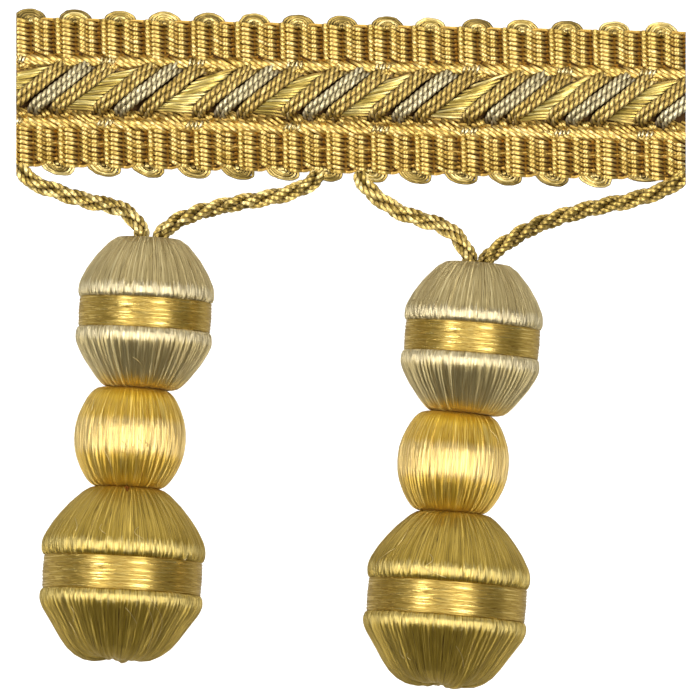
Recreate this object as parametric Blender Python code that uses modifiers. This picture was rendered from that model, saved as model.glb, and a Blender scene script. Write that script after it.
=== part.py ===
# Beaded fringe: a cut length of braid heading with two bead tassels, lying face up on a surface.
# X runs along the heading, Y up its width, Z away from the surface. Metres.
# The origin is the middle of the heading's flat back.

import math

import bpy
from mathutils import Matrix, Vector

MM = 0.001

# Heading
HEADING_LENGTH = 100.5 * MM
HEADING_HALF_WIDTH = 11.2 * MM
LOOP_PITCH = 6.77 * MM           # from one edge loop to the next, two weft passes
FIRST_TOP_LOOP = -47.8 * MM
LOOP_HALF_WIDTH = 2.5 * MM
LOOP_REACH = 1.35 * MM           # how far a weft loop stands past the woven edge
WEFT_LEAN = math.radians(2.7)    # the weft passes lean to the right as they go down
COLUMNS_A_LOOP = 8
CHANNEL_HEIGHT = 0.8 * MM
EDGE_HEIGHT = 0.45 * MM
GAP = 0.3 * MM

# Rows of the heading's face, from the lower edge to the upper one.
# y, height of the face, height of the ribs on it, share of the loops' reach that the row follows
HEADING_ROWS = (
    ("lower loop tips", -HEADING_HALF_WIDTH, EDGE_HEIGHT, 0.0, 1.0),
    ("lower loop crowns", -HEADING_HALF_WIDTH, 1.05 * MM, 0.0, 0.5),
    ("lower band edge", -10.4 * MM, 1.5 * MM, 0.20 * MM, 0.0),
    ("lower band middle", -8.0 * MM, 1.65 * MM, 0.35 * MM, 0.0),
    ("lower band top", -5.6 * MM, 1.6 * MM, 0.25 * MM, 0.0),
    ("lower border crown", -5.0 * MM, 1.9 * MM, 0.05 * MM, 0.0),
    ("lower border foot", -4.1 * MM, CHANNEL_HEIGHT, 0.0, 0.0),
    ("upper border foot", 5.3 * MM, CHANNEL_HEIGHT, 0.0, 0.0),
    ("upper border crown", 6.0 * MM, 1.8 * MM, 0.05 * MM, 0.0),
    ("upper band bottom", 6.7 * MM, 1.6 * MM, 0.25 * MM, 0.0),
    ("upper band middle", 8.6 * MM, 1.65 * MM, 0.35 * MM, 0.0),
    ("upper band edge", 10.4 * MM, 1.5 * MM, 0.20 * MM, 0.0),
    ("upper loop crowns", HEADING_HALF_WIDTH, 1.05 * MM, 0.0, 0.5),
    ("upper loop tips", HEADING_HALF_WIDTH, EDGE_HEIGHT, 0.0, 1.0),
)
# Where a hanging cord leaves the lower edge, the loops there are small.
SMALL_LOOP_SPANS = ((-6.8 * MM, 5.8 * MM), (41.5 * MM, 52.0 * MM), (-52.0 * MM, -46.5 * MM))
SMALL_LOOP_SHARE = 0.2

# Plied cords laid slantwise over the core
GROUP_COUNT = 8
GROUP_PITCH = 13.5 * MM
FIRST_GROUP = -43.55 * MM        # where the first cream cord crosses the middle line of the cords
CORD_ANGLE = math.radians(37.0)
CORD_SPACING = 2.05 * MM
CORD_LOBE = 0.87 * MM
CORD_HOLLOW = 0.62 * MM
CORD_LAY = 7.5 * MM              # one full turn of the three plies
CORD_LOW_END = -3.0 * MM
CORD_HIGH_END = 4.4 * MM
# share of the cord's length, height of its centre
CORD_ARCH = ((0.0, 2.0 * MM), (0.18, 2.75 * MM), (0.5, 3.05 * MM), (0.82, 2.75 * MM), (1.0, 2.0 * MM))

# Floss core
CORE_TOP_UNDER_CORDS = 1.7 * MM
CORE_TOP_IN_GAPS = 2.7 * MM
CORE_LOW_SIDE = -1.5 * MM
CORE_HIGH_SIDE = 3.3 * MM
CORE_GAP_HALF_WIDTH = 1.5 * MM
CORE_RINGS_A_GROUP = 6

# Hanging cords
LEG_LOBE = 1.3 * MM
LEG_HOLLOW = 1.0 * MM
LEG_LAY = 9.6 * MM
LEG_REST = LEG_LOBE + 0.02 * MM  # height of a leg's centre where it lies on the surface

# The legs' routes, from the heading to the bead, in millimetres
LEG_ROUTES = {
    "loop_cord_1_left": (
        (-48.8, -12.0, LEG_REST / MM), (-48.0, -13.2, LEG_REST / MM), (-46.2, -14.0, 1.35),
        (-43.3, -15.0, 1.6), (-40.3, -15.9, 2.5), (-37.6, -16.5, 4.0), (-35.3, -16.9, 5.6),
        (-33.3, -17.7, 7.0), (-31.9, -19.0, 8.1), (-31.0, -20.6, 8.7), (-30.75, -22.05, 8.8),
    ),
    "loop_cord_1_right": (
        (-5.0, -13.0, LEG_REST / MM), (-7.5, -13.9, LEG_REST / MM), (-10.4, -14.7, 1.35),
        (-13.6, -15.4, 1.5), (-16.4, -15.9, 2.2), (-19.3, -16.6, 3.8), (-22.2, -17.4, 5.9),
        (-24.6, -18.4, 7.8), (-26.5, -19.5, 9.2), (-27.7, -20.8, 10.0), (-28.1, -22.05, 10.1),
    ),
    "loop_cord_2_left": (
        (2.3, -12.7, LEG_REST / MM), (3.6, -14.1, LEG_REST / MM), (5.8, -15.7, 1.4),
        (7.9, -16.9, 1.8), (10.7, -17.8, 2.8), (13.2, -18.5, 4.2), (15.3, -19.5, 5.8),
        (16.9, -21.1, 7.2), (18.0, -22.9, 8.2), (18.5, -24.75, 8.4),
    ),
    "loop_cord_2_right": (
        (47.3, -12.8, LEG_REST / MM), (45.6, -13.3, LEG_REST / MM), (43.5, -13.9, LEG_REST / MM),
        (40.7, -14.7, 1.35), (38.0, -15.2, 1.5), (35.0, -16.0, 2.0), (31.8, -17.0, 3.1),
        (28.7, -18.2, 5.1), (25.8, -19.7, 7.5), (23.1, -21.5, 9.6), (21.2, -23.1, 10.7),
        (20.4, -24.75, 10.8),
    ),
}

# Beads. Each profile is distance down from the bead's top end, radius.
BEAD_STEPS = 24
FLOOR_CUT = 0.12 * MM            # depth of the flat spot that a bead rests on
RECESS_RADIUS = 3.4 * MM
RECESS_DEPTH = 0.9 * MM
TOP_BEAD_GROOVE = (9.3 * MM, 13.8 * MM, 8.7 * MM)
TOP_BEAD_LENGTH = 22.5 * MM
TOP_BEAD_RIDGE = (8.1 * MM, 10.15 * MM)
TOP_BEAD_PROFILE = (
    (RECESS_DEPTH, 0.0), (RECESS_DEPTH, RECESS_RADIUS), (0.0, RECESS_RADIUS + 0.3 * MM),
    (0.0, 4.8 * MM), (0.9 * MM, 6.0 * MM), (3.0 * MM, 7.85 * MM), (6.0 * MM, 9.65 * MM),
    TOP_BEAD_RIDGE, (9.1 * MM, 9.9 * MM), (TOP_BEAD_GROOVE[0], TOP_BEAD_GROOVE[2]),
    (TOP_BEAD_GROOVE[1], TOP_BEAD_GROOVE[2]), (14.0 * MM, 9.9 * MM), (15.4 * MM, 10.2 * MM),
    (16.8 * MM, 9.9 * MM), (18.6 * MM, 8.85 * MM), (21.3 * MM, 6.85 * MM),
    (22.3 * MM, 5.9 * MM), (TOP_BEAD_LENGTH, 5.5 * MM), (TOP_BEAD_LENGTH, 0.0),
)
MIDDLE_BEAD_LENGTH = 14.6 * MM
MIDDLE_BEAD_PROFILE = (
    (0.0, 0.0), (0.0, 5.5 * MM), (0.7 * MM, 5.95 * MM), (2.6 * MM, 7.15 * MM), (4.9 * MM, 8.0 * MM),
    (7.5 * MM, 8.35 * MM), (10.1 * MM, 8.0 * MM), (12.3 * MM, 7.1 * MM), (13.9 * MM, 6.0 * MM),
    (MIDDLE_BEAD_LENGTH, 5.5 * MM), (MIDDLE_BEAD_LENGTH, 0.0),
)
BOTTOM_BEAD_GROOVE = (10.6 * MM, 15.5 * MM, 10.6 * MM)
BOTTOM_BEAD_LENGTH = 25.7 * MM
BOTTOM_BEAD_RIDGE = (8.9 * MM, 12.2 * MM)
BOTTOM_BEAD_PROFILE = (
    (0.0, 0.0), (0.0, 5.7 * MM), (0.7 * MM, 6.5 * MM), (2.4 * MM, 8.35 * MM), (5.4 * MM, 10.65 * MM),
    (7.5 * MM, 11.8 * MM), BOTTOM_BEAD_RIDGE, (10.3 * MM, 11.8 * MM),
    (BOTTOM_BEAD_GROOVE[0], BOTTOM_BEAD_GROOVE[2]), (BOTTOM_BEAD_GROOVE[1], BOTTOM_BEAD_GROOVE[2]),
    (15.8 * MM, 11.9 * MM), (16.8 * MM, 12.2 * MM), (18.3 * MM, 11.75 * MM), (20.9 * MM, 9.95 * MM),
    (24.0 * MM, 7.4 * MM), (25.1 * MM, 6.1 * MM), (BOTTOM_BEAD_LENGTH, 4.7 * MM),
    (BOTTOM_BEAD_LENGTH, 1.8 * MM), (BOTTOM_BEAD_LENGTH - 0.7 * MM, 0.9 * MM),
    (BOTTOM_BEAD_LENGTH - 0.7 * MM, 0.0),
)
BAND_CROWN = 0.12 * MM
TOP_BAND_RADIUS = 9.75 * MM
BOTTOM_BAND_RADIUS = 11.65 * MM

# Tassels: where the first bead's top end is seen, the lean to the left going down, size of the
# top bead against the profile, and the sideways shift of each bead on the string.
TASSELS = {
    1: {"x": -30.3 * MM, "y": -21.5 * MM, "lean": math.radians(1.95), "top_scale": 1.0,
        "shifts": (0.6 * MM, -0.6 * MM, -0.6 * MM)},
    2: {"x": 19.2 * MM, "y": -24.2 * MM, "lean": math.radians(3.3), "top_scale": 1.02,
        "shifts": (0.35 * MM, -1.0 * MM, -0.35 * MM)},
}

# Materials: base colour, roughness
FINISHES = {
    "braid yarn gold": ((0.55, 0.36, 0.08), 0.45),
    "cord yarn cream": ((0.68, 0.61, 0.36), 0.5),
    "floss yellow": ((0.65, 0.45, 0.10), 0.35),
    "floss cream": ((0.52, 0.43, 0.22), 0.35),
    "floss amber": ((0.60, 0.38, 0.06), 0.3),
    "floss olive": ((0.45, 0.32, 0.07), 0.35),
}


def remove_startup_objects():
    for item in list(bpy.data.objects):
        bpy.data.objects.remove(item, do_unlink=True)


def new_collection(name):
    collection = bpy.data.collections.new(name)
    bpy.context.scene.collection.children.link(collection)
    return collection


def make_finish(name):
    colour, roughness = FINISHES[name]
    material = bpy.data.materials.new(name)
    material.use_nodes = True
    shader = material.node_tree.nodes["Principled BSDF"]
    shader.inputs["Base Color"].default_value = (*colour, 1.0)
    shader.inputs["Roughness"].default_value = roughness
    shader.inputs["Metallic"].default_value = 0.0
    return material


def new_part(name, mesh, collection, finish):
    part = bpy.data.objects.new(name, mesh)
    mesh.materials.append(finish)
    collection.objects.link(part)
    return part


def nearest_loop_offset(x, first):
    """Signed distance from x to the nearest edge loop of a row that starts at first."""
    return (x - first + LOOP_PITCH / 2) % LOOP_PITCH - LOOP_PITCH / 2


def loop_bulge(x, first):
    across = nearest_loop_offset(x, first) / LOOP_HALF_WIDTH
    return LOOP_REACH * math.sqrt(max(0.0, 1.0 - across * across))


def row_point(x, row):
    """A point of the heading's face on the weft column that crosses the middle line at x."""
    _, y, height, rib, reach = row
    lower = y < 0.0
    leaned = x - y * math.tan(WEFT_LEAN)
    first = FIRST_TOP_LOOP + (LOOP_PITCH / 2 if lower else 0.0)
    bulge = reach * loop_bulge(x, first)
    if lower and any(low < leaned < high for low, high in SMALL_LOOP_SPANS):
        bulge *= SMALL_LOOP_SHARE
    y += -bulge if lower else bulge
    # The ribs stand a quarter of a loop pitch to each side of a loop's middle.
    height -= rib * math.cos(4 * math.pi * (x - FIRST_TOP_LOOP) / LOOP_PITCH)
    return Vector((leaned, y, height))


def heading_mesh():
    """A ribbed face with scalloped edges over a flat back."""
    half = HEADING_LENGTH / 2
    step = LOOP_PITCH / COLUMNS_A_LOOP
    inner = half - HEADING_HALF_WIDTH * math.tan(WEFT_LEAN) - 0.2 * MM
    first = math.ceil((-inner - FIRST_TOP_LOOP) / step)
    last = math.floor((inner - FIRST_TOP_LOOP) / step)
    columns = [FIRST_TOP_LOOP + step * k for k in range(first, last + 1)]
    points = []
    faces = []
    stride = len(HEADING_ROWS) + 2
    for x in [-half] + columns + [half]:
        column = [row_point(x, row) for row in HEADING_ROWS]
        if abs(x) == half:
            for point in column:
                point.x = x
        back_low = Vector((column[0].x, column[0].y, 0.0))
        back_high = Vector((column[-1].x, column[-1].y, 0.0))
        points += [back_low] + column + [back_high]
    count = len(columns) + 2
    for i in range(count - 1):
        a = i * stride
        b = a + stride
        for j in range(stride):
            k = (j + 1) % stride
            faces.append((a + j, b + j, b + k, a + k))
    faces.append(tuple(range(stride)))
    faces.append(tuple(range((count - 1) * stride, count * stride))[::-1])
    mesh = bpy.data.meshes.new("heading")
    mesh.from_pydata(points, [], faces)
    return mesh


def ramp(table, share):
    """Reads a height from a short table of share and height, smoothly between its rows."""
    for (low, a), (high, b) in zip(table, table[1:]):
        if share <= high:
            t = (share - low) / (high - low)
            return a + (b - a) * t * t * (3 - 2 * t)
    return table[-1][1]


def smooth_route(points, spacing):
    """A Catmull-Rom curve through the points, read at even steps along its length."""
    padded = [2 * points[0] - points[1]] + list(points) + [2 * points[-1] - points[-2]]
    fine = []
    parts = 24
    for p0, p1, p2, p3 in zip(padded, padded[1:], padded[2:], padded[3:]):
        for k in range(parts):
            t = k / parts
            fine.append(0.5 * (2 * p1 + (p2 - p0) * t + (2 * p0 - 5 * p1 + 4 * p2 - p3) * t * t
                               + (3 * p1 - p0 - 3 * p2 + p3) * t * t * t))
    fine.append(points[-1].copy())
    lengths = [0.0]
    for a, b in zip(fine, fine[1:]):
        lengths.append(lengths[-1] + (b - a).length)
    count = max(2, round(lengths[-1] / spacing))
    route = []
    k = 0
    for i in range(count + 1):
        target = lengths[-1] * i / count
        while k < len(fine) - 2 and lengths[k + 1] < target:
            k += 1
        span = lengths[k + 1] - lengths[k]
        route.append(fine[k].lerp(fine[k + 1], (target - lengths[k]) / span))
    return route


def plied_mesh(name, route, radii, lay, start_turn=0.0):
    """A rope of three plies along a route: a lobed section that turns as it goes.

    radii are the section's radii through one ply, from its crown on.
    """
    sides = 3 * len(radii)
    points = []
    faces = []
    travelled = 0.0
    for i, centre in enumerate(route):
        before = route[max(i - 1, 0)]
        after = route[min(i + 1, len(route) - 1)]
        along = (after - before).normalized()
        left = Vector((0.0, 0.0, 1.0)).cross(along).normalized()
        up = along.cross(left)
        if i:
            travelled += (centre - before).length
        turn = start_turn + 2 * math.pi * travelled / lay
        for j in range(sides):
            angle = turn + 2 * math.pi * j / sides
            radius = radii[j % len(radii)]
            points.append(centre + radius * (math.cos(angle) * up + math.sin(angle) * left))
    for i in range(len(route) - 1):
        a = i * sides
        b = a + sides
        for j in range(sides):
            k = (j + 1) % sides
            faces.append((a + j, b + j, b + k, a + k))
    faces.append(tuple(range(sides)))
    faces.append(tuple(range((len(route) - 1) * sides, len(route) * sides))[::-1])
    mesh = bpy.data.meshes.new(name)
    mesh.from_pydata(points, [], faces)
    return mesh


def cord_route(centre_x, offset):
    """The centre line of one slanting cord: offset is its place across the group."""
    middle = (CORD_LOW_END + CORD_HIGH_END) / 2
    shift = offset / math.sin(CORD_ANGLE)
    rings = 14
    route = []
    for i in range(rings + 1):
        share = i / rings
        y = CORD_LOW_END + (CORD_HIGH_END - CORD_LOW_END) * share
        x = centre_x + shift + (y - middle) / math.tan(CORD_ANGLE)
        route.append(Vector((x, y, ramp(CORD_ARCH, share))))
    return route


def add_cut(part, cutter, operation):
    cut = part.modifiers.new("cut", "BOOLEAN")
    cut.operation = operation
    cut.solver = "EXACT"
    cut.object = cutter


def add_block(name, low, high, collection):
    """A cutter box between two corners."""
    bpy.ops.mesh.primitive_cube_add(size=1.0)
    block = bpy.context.object
    block.name = name
    for old in list(block.users_collection):
        old.objects.unlink(block)
    collection.objects.link(block)
    low = Vector(low)
    high = Vector(high)
    block.data.transform(Matrix.Translation((low + high) / 2) @ Matrix.Diagonal((*(high - low), 1.0)))
    block.hide_render = True
    block.display_type = "WIRE"
    return block


def add_wrap_cords(collection, finishes, length_block):
    """Groups of gold, cream and gold cord, cut where they cross the ends of the length."""
    half = HEADING_LENGTH / 2
    places = (("upper", -CORD_SPACING, "braid yarn gold"), ("cream", 0.0, "cord yarn cream"),
              ("lower", CORD_SPACING, "braid yarn gold"))
    for group in range(GROUP_COUNT):
        centre_x = FIRST_GROUP + GROUP_PITCH * group
        for place, offset, finish in places:
            route = cord_route(centre_x, offset)
            if route[0].x > half - CORD_LOBE:
                continue
            name = f"wrap_{group + 1}_{place}"
            mesh = plied_mesh(name, route, (CORD_LOBE, CORD_HOLLOW), CORD_LAY)
            cord = new_part(name, mesh, collection, finishes[finish])
            crosses = route[0].x < CORD_LOBE - half or route[-1].x > half - CORD_LOBE
            if crosses:
                add_cut(cord, length_block, "INTERSECT")


def core_top(x):
    """Height of the core where its slanting slice meets the middle line: it swells between groups."""
    away = (x - FIRST_GROUP) / GROUP_PITCH - 0.5
    away = abs(away - round(away)) * GROUP_PITCH
    swell = max(0.0, 1.0 - max(0.0, away - CORE_GAP_HALF_WIDTH / 2) / CORE_GAP_HALF_WIDTH)
    swell = swell * swell * (3 - 2 * swell)
    return CORE_TOP_UNDER_CORDS + (CORE_TOP_IN_GAPS - CORE_TOP_UNDER_CORDS) * swell


def core_mesh():
    """The floss bundle, in slices parallel to the cords."""
    base = CHANNEL_HEIGHT + GAP
    middle = (CORD_LOW_END + CORD_HIGH_END) / 2
    width = CORE_HIGH_SIDE - CORE_LOW_SIDE
    step = GROUP_PITCH / CORE_RINGS_A_GROUP
    reach = HEADING_LENGTH / 2 + GROUP_PITCH / 2
    rings = round(2 * reach / step)
    points = []
    faces = []
    for i in range(rings + 1):
        x = FIRST_GROUP + GROUP_PITCH / 2 + (i - math.ceil((reach + FIRST_GROUP + GROUP_PITCH / 2) / step)) * step
        top = core_top(x)
        side = base + 0.25 * MM
        section = (
            (CORE_LOW_SIDE + 0.1 * width, base), (CORE_LOW_SIDE, side),
            (CORE_LOW_SIDE + 0.2 * width, side + 0.72 * (top - side)),
            (CORE_LOW_SIDE + 0.5 * width, top), (CORE_LOW_SIDE + 0.8 * width, side + 0.72 * (top - side)),
            (CORE_HIGH_SIDE, side), (CORE_HIGH_SIDE - 0.1 * width, base),
        )
        for y, z in section:
            points.append(Vector((x + (y - middle) / math.tan(CORD_ANGLE), y, z)))
    sides = len(section)
    for i in range(rings):
        a = i * sides
        b = a + sides
        for j in range(sides):
            k = (j + 1) % sides
            faces.append((a + j, b + j, b + k, a + k))
    faces.append(tuple(range(sides)))
    faces.append(tuple(range(rings * sides, (rings + 1) * sides))[::-1])
    mesh = bpy.data.meshes.new("floss core")
    mesh.from_pydata(points, [], faces)
    return mesh


def turned_part(name, profile, placement, collection, finish, closed=False):
    """A profile of distance down and radius, turned about the tassel's string."""
    points = [Vector((radius, 0.0, -down)) for down, radius in profile]
    edges = [(i, i + 1) for i in range(len(points) - 1)]
    if closed:
        edges.append((len(points) - 1, 0))
    mesh = bpy.data.meshes.new(name)
    mesh.from_pydata(points, edges, [])
    part = new_part(name, mesh, collection, finish)
    part.matrix_world = placement
    screw = part.modifiers.new("turn", "SCREW")
    screw.axis = "Z"
    screw.angle = 2 * math.pi
    screw.steps = BEAD_STEPS
    screw.render_steps = BEAD_STEPS
    screw.use_merge_vertices = True
    screw.merge_threshold = 0.00001
    screw.use_smooth_shade = True
    return part


def band_profile(groove, radius):
    """The closed section of a wound band that fills its groove with a gap all round."""
    top, bottom, floor = groove
    top += GAP
    bottom -= GAP
    inner = floor + GAP
    middle = (top + bottom) / 2
    return (
        (top, inner), (top, radius - 0.2 * MM), (top + 0.3 * MM, radius), (middle, radius + BAND_CROWN),
        (bottom - 0.3 * MM, radius), (bottom, radius - 0.2 * MM), (bottom, inner),
    )


def scaled(profile, factor):
    return tuple((down, radius * factor) for down, radius in profile)


def add_tassel(number, collection, finishes, floor_block):
    """Three beads on one string, leaning so that the first and last rest on the surface."""
    tassel = TASSELS[number]
    scale = tassel["top_scale"]
    apothem = math.cos(math.pi / BEAD_STEPS)
    middle_start = TOP_BEAD_LENGTH + GAP
    bottom_start = middle_start + MIDDLE_BEAD_LENGTH + GAP
    rest_top = TOP_BEAD_RIDGE[0]
    rest_bottom = bottom_start + BOTTOM_BEAD_RIDGE[0]
    radius_top = TOP_BEAD_RIDGE[1] * scale * apothem
    radius_bottom = BOTTOM_BEAD_RIDGE[1] * apothem
    rise = math.atan2(radius_bottom - radius_top, rest_bottom - rest_top)
    height = radius_top * math.cos(rise) - rest_top * math.sin(rise) - FLOOR_CUT

    lean = tassel["lean"]
    down = Vector((-math.sin(lean) * math.cos(rise), -math.cos(lean) * math.cos(rise), math.sin(rise)))
    right = Vector((math.cos(lean), -math.sin(lean), 0.0))
    up = right.cross(down) * -1.0
    top_end = Vector((tassel["x"], tassel["y"], height))
    half_step = Matrix.Rotation(math.pi / BEAD_STEPS, 4, "Z")

    def placement(start, shift):
        axes = Matrix((right, up, -down)).transposed().to_4x4()
        return Matrix.Translation(top_end + down * start + right * shift) @ axes @ half_step

    top_place = placement(0.0, tassel["shifts"][0])
    middle_place = placement(middle_start, tassel["shifts"][1])
    bottom_place = placement(bottom_start, tassel["shifts"][2])

    top_bead = turned_part(f"top_bead_{number}", scaled(TOP_BEAD_PROFILE, scale), top_place,
                           collection, finishes["floss cream"])
    add_cut(top_bead, floor_block, "DIFFERENCE")
    turned_part(f"top_band_{number}", scaled(band_profile(TOP_BEAD_GROOVE, TOP_BAND_RADIUS), scale),
                top_place, collection, finishes["floss yellow"], closed=True)
    turned_part(f"middle_bead_{number}", MIDDLE_BEAD_PROFILE, middle_place,
                collection, finishes["floss amber"])
    bottom_bead = turned_part(f"bottom_bead_{number}", BOTTOM_BEAD_PROFILE, bottom_place,
                              collection, finishes["floss olive"])
    add_cut(bottom_bead, floor_block, "DIFFERENCE")
    turned_part(f"bottom_band_{number}", band_profile(BOTTOM_BEAD_GROOVE, BOTTOM_BAND_RADIUS),
                bottom_place, collection, finishes["floss yellow"], closed=True)


def add_hanging_cords(collection, finishes):
    radii = (LEG_LOBE, (LEG_LOBE + 2 * LEG_HOLLOW) / 3, (LEG_LOBE + 2 * LEG_HOLLOW) / 3)
    for name, route in LEG_ROUTES.items():
        points = [Vector(point) * MM for point in route]
        mesh = plied_mesh(name, smooth_route(points, LEG_LAY / 9), radii, LEG_LAY)
        new_part(name, mesh, collection, finishes["braid yarn gold"])


def main():
    remove_startup_objects()
    parts = new_collection("beaded fringe")
    cutters = new_collection("cutters")
    finishes = {name: make_finish(name) for name in FINISHES}
    half = HEADING_LENGTH / 2
    length_block = add_block("length block", (-half, -20 * MM, -1 * MM), (half, 20 * MM, 8 * MM), cutters)
    floor_block = add_block("floor block", (-70 * MM, -110 * MM, -10 * MM), (70 * MM, 0.0, 0.0), cutters)

    new_part("braid_tape", heading_mesh(), parts, finishes["braid yarn gold"])
    core = new_part("floss_core", core_mesh(), parts, finishes["floss yellow"])
    add_cut(core, length_block, "INTERSECT")
    add_wrap_cords(parts, finishes, length_block)
    add_hanging_cords(parts, finishes)
    for number in TASSELS:
        add_tassel(number, parts, finishes, floor_block)


main()
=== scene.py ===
import math
import random

import bmesh
import bpy
from mathutils import Matrix, Vector


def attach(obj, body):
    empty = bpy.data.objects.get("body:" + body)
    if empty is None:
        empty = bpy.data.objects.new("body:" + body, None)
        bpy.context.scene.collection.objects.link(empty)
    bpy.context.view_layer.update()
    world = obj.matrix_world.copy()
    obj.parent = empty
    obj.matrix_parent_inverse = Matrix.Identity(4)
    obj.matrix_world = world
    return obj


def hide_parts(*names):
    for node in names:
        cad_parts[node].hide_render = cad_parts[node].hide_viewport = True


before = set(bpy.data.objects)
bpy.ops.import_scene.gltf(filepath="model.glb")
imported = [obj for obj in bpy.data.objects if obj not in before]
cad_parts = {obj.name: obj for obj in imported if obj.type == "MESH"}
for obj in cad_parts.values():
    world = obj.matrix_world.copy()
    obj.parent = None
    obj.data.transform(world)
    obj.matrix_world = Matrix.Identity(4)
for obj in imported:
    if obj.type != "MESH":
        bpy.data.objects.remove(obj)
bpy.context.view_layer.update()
print("frame loaded", len(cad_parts), "nodes")

mm = 0.001

# Camera: straight above the fringe, as far off as a long lens needs
cameraSettings = {
    "lens": 1200.0,
    "sensor": 36.0,
    "frameWidth": 105.0 * mm,
    "aim": (0.67 * mm, -37.64 * mm, 0.0),
    "roll": 1.25,
}


def newObject(name, data):
    thing = bpy.data.objects.new(name, data)
    bpy.context.scene.collection.objects.link(thing)
    return thing


def makeCamera(settings):
    data = bpy.data.cameras.new("camera")
    data.lens = settings["lens"]
    data.sensor_width = settings["sensor"]
    camera = newObject("camera", data)
    distance = settings["frameWidth"] * settings["lens"] / settings["sensor"]
    camera.location = Vector(settings["aim"]) + Vector((0, 0, distance))
    camera.rotation_euler = (0, 0, math.radians(settings["roll"]))
    data.clip_start = 0.1
    data.clip_end = 2 * distance
    bpy.context.scene.camera = camera


makeCamera(cameraSettings)


# Node helpers for the trees and the materials. An input's first value gives its kind, or a word does.
socketKinds = {float: "Float", int: "Int", tuple: "Color"}


def newTree(name, kind, inputs, outputs):
    tree = bpy.data.node_groups.new(name, kind)
    for label, value in inputs.items():
        word = value if isinstance(value, str) else socketKinds[type(value)]
        socket = tree.interface.new_socket(name=label, in_out="INPUT", socket_type="NodeSocket" + word)
        if word != value:
            socket.default_value = value
    for label, word in outputs.items():
        tree.interface.new_socket(name=label, in_out="OUTPUT", socket_type="NodeSocket" + word)
    start = tree.nodes.new("NodeGroupInput")
    end = tree.nodes.new("NodeGroupOutput")
    end.location.x = 6000
    return tree, start.outputs, end.inputs


def feed(tree, socket, value):
    if isinstance(value, bpy.types.NodeSocket):
        tree.links.new(value, socket)
    elif value is not None:
        socket.default_value = value


def add(tree, kind, *values, **settings):
    node = tree.nodes.new(kind)
    node.location.x = 180 * len(tree.nodes)
    for key, value in settings.items():
        setattr(node, key, value)
    usable = [socket for socket in node.inputs if socket.enabled]
    for socket, value in zip(usable, values):
        feed(tree, socket, value)
    return node


def firstOut(node):
    return next(socket for socket in node.outputs if socket.enabled)


def calc(tree, operation, *values):
    return firstOut(add(tree, "ShaderNodeMath", *values, operation=operation))


def plus(tree, first, second):
    return calc(tree, "ADD", first, second)


def minus(tree, first, second):
    return calc(tree, "SUBTRACT", first, second)


def times(tree, first, second):
    return calc(tree, "MULTIPLY", first, second)


def divided(tree, first, second):
    return calc(tree, "DIVIDE", first, second)


def calcVector(tree, operation, *values):
    return firstOut(add(tree, "ShaderNodeVectorMath", *values, operation=operation))


def scaled(tree, vector, factor):
    return calcVector(tree, "SCALE", vector, factor)


def noise(tree, vector, scale, detail=2.0, output="Fac"):
    node = add(tree, "ShaderNodeTexNoise")
    for label, value in (("Vector", vector), ("Scale", scale), ("Detail", detail)):
        feed(tree, node.inputs[label], value)
    return node.outputs[output]


def mixColour(tree, share, low, high):
    node = add(tree, "ShaderNodeMix", data_type="RGBA")
    for index, value in ((0, share), (6, low), (7, high)):
        feed(tree, node.inputs[index], value)
    return node.outputs[2]


def addGroup(tree, group, values):
    node = add(tree, "ShaderNodeGroup" if tree.type == "SHADER" else "GeometryNodeGroup", node_tree=group)
    for label, value in values.items():
        feed(tree, node.inputs[label], value)
    return node


def lengthBetween(tree, first, second):
    away = calcVector(tree, "SUBTRACT", first, second)
    return add(tree, "ShaderNodeVectorMath", away, operation="LENGTH").outputs["Value"]


def joinXyz(tree, x, y, z):
    return firstOut(add(tree, "ShaderNodeCombineXYZ", x, y, z))


# A place on a ring round the Z axis
def ringPlace(tree, angle, reach, height):
    across = times(tree, calc(tree, "COSINE", angle), reach)
    return joinXyz(tree, across, times(tree, calc(tree, "SINE", angle), reach), height)


def keepField(tree, geometry, domain, label, kind, field):
    node = add(tree, "GeometryNodeCaptureAttribute", geometry, domain=domain)
    node.capture_items.new(kind, label)
    feed(tree, node.inputs[label], field)
    return node.outputs["Geometry"], node.outputs[label]


def storeField(tree, geometry, domain, kind, label, field):
    node = add(tree, "GeometryNodeStoreNamedAttribute", domain=domain, data_type=kind)
    feed(tree, node.inputs["Geometry"], geometry)
    feed(tree, node.inputs["Name"], label)
    feed(tree, node.inputs["Value"], field)
    return node.outputs["Geometry"]


def endTree(tree, result, mesh, material):
    soft = add(tree, "GeometryNodeSetShadeSmooth", mesh)
    real = add(tree, "GeometryNodeRealizeInstances", soft.outputs[0])
    dressed = add(tree, "GeometryNodeSetMaterial", real.outputs[0])
    feed(tree, dressed.inputs["Material"], material)
    feed(tree, result["Mesh"], dressed.outputs[0])


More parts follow.
